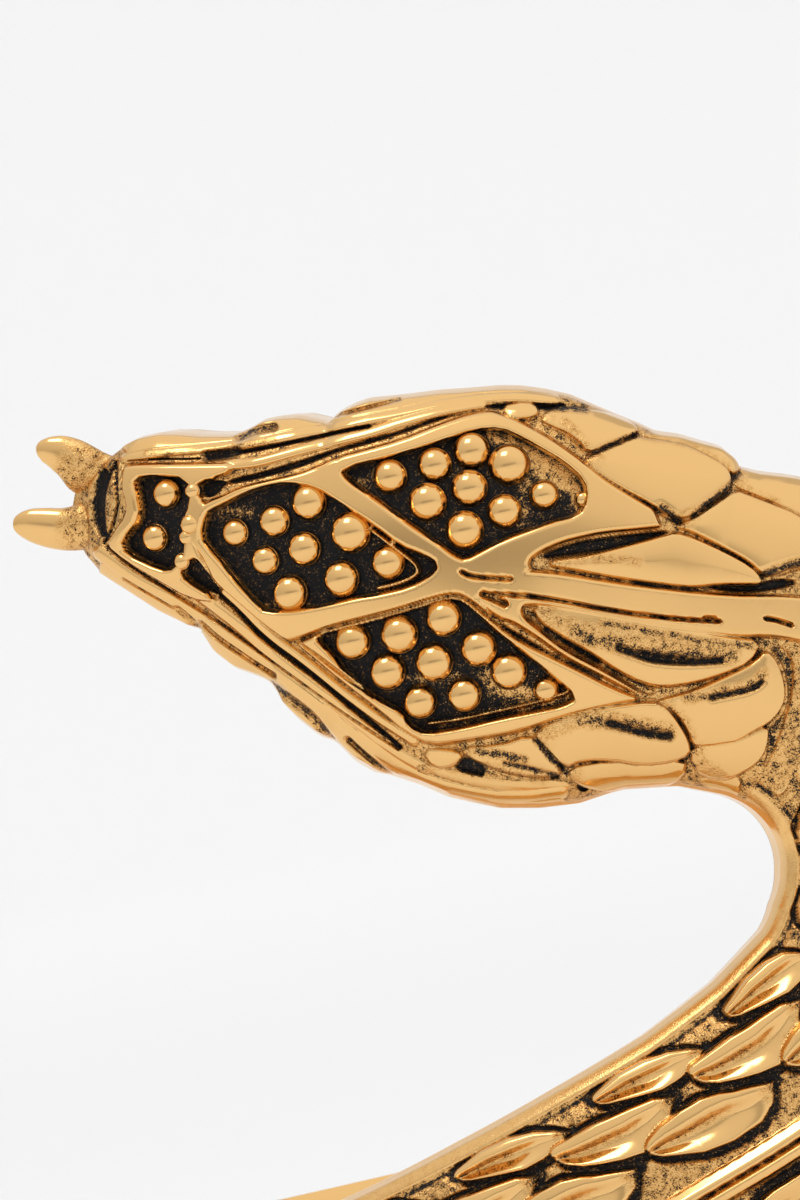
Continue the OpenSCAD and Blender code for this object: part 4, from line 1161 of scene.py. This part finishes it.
# Round tube along the prong: each ring stands across the run of the middle line.
def makeProng(name, rows):
    table = np.array(rows, float)
    runs = np.concatenate([[0], np.cumsum(np.hypot(*np.diff(table[:, :2], axis=0).T))])
    ease = 1 - np.cos(np.linspace(0, math.pi / 2, tongueShape["along"]))
    p, q, r = [np.interp(ease * runs[-1], runs, column) for column in table.T]
    soft = np.ones(5) / 5
    for _ in range(3):
        for values in (p, q, r):
            values[2:-2] = np.convolve(values, soft, mode="valid")
    wayP = np.gradient(p)
    wayQ = np.gradient(q)
    length = np.maximum(np.hypot(wayP, wayQ), 1e-9)
    acrossP, acrossQ = -wayQ / length, wayP / length
    angle = np.linspace(0, 2 * math.pi, tongueShape["around"], endpoint=False)
    rooted = smoothStep(-15.9, -14.9, p[:, None])
    wide = r[:, None] * np.cos(angle)[None]
    thick = r[:, None] * np.sin(angle)[None] * tongueShape["thin"] * (1 - 0.5 * rooted)
    u, v = bodyOf(p[:, None] + acrossP[:, None] * wide, q[:, None] + acrossQ[:, None] * wide)
    grid = bodyPoint(u, v, tongueShape["height"] - tongueShape["rootDrop"] * rooted + thick)
    rough = np.repeat(0.29 * smoothStep(-17.3, -16.1, p), tongueShape["around"])
    tubeMesh(name, grid, gridNormals(grid), rough, gold)


for name, rows in tongueProngs.items():
    makeProng(name, rows)
print("cuff: tongue")

# The stage, in metres.
studio = {
    "floorRadius": 1.3,
    "floorRings": 10,
    "coveRadius": 0.5,
    "coveRings": 24,
    "wallMiddle": 0.8,
    "wallTop": 2.2,
    "spokes": 120,
    "paper": (0.93, 0.93, 0.93, 1.0),
    "openTurn": 120.0,       # the sweep has no wall this far to each side of the front, degrees
    "skyWay": (0.5, 0.0, 0.87),  # the sky brightens this way
    "skyFrom": -0.5,         # reach along that way where it starts to brighten
    "skyTo": 0.9,            # and where it is brightest
    "skyLow": 0.64,
    "skyHigh": 1.02,
    "frontDim": 0.32,        # the sky is this much dimmer low in front
    "frontFrom": -0.65,      # Y of a direction where the dimming starts
    "frontFull": -0.95,      # and where it is full
    "lowFrom": 0.24,         # Z of it where the dimming starts
    "lowFull": 0.05,
}


# Round sweep of paper: a level floor, a quarter round cove and a wall, turned about Z.
def makeSweep():
    floorRadius, coveRadius, spokes = studio["floorRadius"], studio["coveRadius"], studio["spokes"]
    rise = np.linspace(0.05, 0.5 * math.pi, studio["coveRings"])
    radius = np.concatenate([np.linspace(0.002, floorRadius, studio["floorRings"]),
                             floorRadius + coveRadius * np.sin(rise),
                             [floorRadius + coveRadius] * 2])
    height = np.concatenate([np.zeros(studio["floorRings"]), coveRadius * (1 - np.cos(rise)),
                             [studio["wallMiddle"], studio["wallTop"]]])
    turn = np.linspace(0, 2 * math.pi, spokes, endpoint=False)
    r, t = np.meshgrid(radius, turn, indexing="ij")
    points = np.stack([r * np.cos(t), r * np.sin(t), np.repeat(height[:, None], spokes, axis=1)], axis=-1)
    index = np.arange(points.shape[0] * spokes).reshape(-1, spokes)
    after = np.roll(index, -1, axis=1)
    quads = np.stack([index[:-1], index[1:], after[1:], after[:-1]], axis=-1)
    fromFront = np.abs(np.mod(turn + 1.5 * math.pi, 2 * math.pi) - math.pi)
    quads = quads[(radius[:-1, None] < floorRadius) | (fromFront > studio["openTurn"] * degree)[None]]
    mesh = bpy.data.meshes.new("paper_sweep")
    mesh.from_pydata(points.reshape(-1, 3).tolist(), [], [tuple(f) for f in quads] + [tuple(index[0])])
    mesh.update()
    mesh.polygons.foreach_set("use_smooth", np.ones(len(mesh.polygons), bool))
    paper = bpy.data.materials.new("white paper")
    paper.use_nodes = True
    shader = paper.node_tree.nodes["Principled BSDF"]
    shader.inputs["Base Color"].default_value = studio["paper"]
    shader.inputs["Roughness"].default_value = 0.9
    shader.inputs["Specular IOR Level"].default_value = 0.0
    mesh.materials.append(paper)
    sweep = bpy.data.objects.new("paper_sweep", mesh)
    bpy.context.scene.collection.objects.link(sweep)


makeSweep()


# Sky: its strength rises along the sky's way, less the dimming, which is the product of how far
# forward and how low a direction points.
def makeSky():
    world = bpy.data.worlds.new("studio")
    bpy.context.scene.world = world
    world.use_nodes = True
    tree = world.node_tree
    sky = tree.nodes["Background"]
    sky.inputs["Color"].default_value = (1.0, 1.0, 1.0, 1.0)
    direction = tree.nodes.new("ShaderNodeTexCoord").outputs["Generated"]
    along = tree.nodes.new("ShaderNodeVectorMath")
    along.operation = "DOT_PRODUCT"
    along.inputs[1].default_value = studio["skyWay"]
    parts = tree.nodes.new("ShaderNodeSeparateXYZ")
    tree.links.new(direction, along.inputs[0])
    tree.links.new(direction, parts.inputs["Vector"])
    climb = ramp(tree, along.outputs["Value"], studio["skyFrom"], studio["skyTo"],
                 studio["skyLow"], studio["skyHigh"], "LINEAR")
    ahead = ramp(tree, parts.outputs["Y"], studio["frontFrom"], studio["frontFull"])
    low = ramp(tree, parts.outputs["Z"], studio["lowFrom"], studio["lowFull"], 0.0, studio["frontDim"])
    strength = reckon(tree, "SUBTRACT", climb, reckon(tree, "MULTIPLY", ahead, low))
    tree.links.new(strength, sky.inputs["Strength"])


makeSky()

# Soft boxes: place, what they face, size in metres and power in watts.
softBoxes = [
    ("top_box", (-0.08, -0.16, 0.42), (0, 0, 0.03), 0.16, 0.4),
    ("wall_box", (0, 0.9, 1.0), (0, 1.8, 0.1), 0.5, 1.6),
]
for name, place, aim, size, power in softBoxes:
    lamp = bpy.data.lights.new(name, "AREA")
    lamp.shape = "SQUARE"
    lamp.size = size
    lamp.energy = power
    holder = bpy.data.objects.new(name, lamp)
    holder.location = place
    holder.rotation_euler = (Vector(aim) - Vector(place)).to_track_quat("-Z", "Y").to_euler()
    bpy.context.scene.collection.objects.link(holder)

# Camera: level, straight ahead, rolled so that the head lies as in the photograph.
view = {
    "roll": 12.0,            # degrees
    "aimX": -7.2,            # the view's middle on the head, millimetres
    "aimZ": 41.1,
    "headPlane": -33.0,      # Y of the head's plane
    "distance": 400.0,       # from the head
    "frameWidth": 34.45,     # width of the head's plane that fills the picture
    "sensor": 36.0,          # long side
    "longSide": 1.5,         # height of the picture over its width
    "clipNear": 0.01,        # metres
    "clipFar": 20.0,
}
roll = view["roll"] * degree
right = Vector((math.cos(roll), 0, -math.sin(roll)))
up = Vector((math.sin(roll), 0, math.cos(roll)))
back = Vector((0, -1, 0))
lens = bpy.data.cameras.new("camera")
lens.sensor_width = view["sensor"]
lens.lens = view["sensor"] * view["distance"] / (view["frameWidth"] * view["longSide"])
lens.clip_start = view["clipNear"]
lens.clip_end = view["clipFar"]
camera = bpy.data.objects.new("camera", lens)
eye = Vector((view["aimX"], view["headPlane"] - view["distance"], view["aimZ"])) * millimetre
camera.matrix_world = Matrix.Translation(eye) @ Matrix((right, up, back)).transposed().to_4x4()
bpy.context.scene.collection.objects.link(camera)
bpy.context.scene.camera = camera
bpy.context.scene.view_settings.view_transform = "Standard"
print("cuff: camera and light")
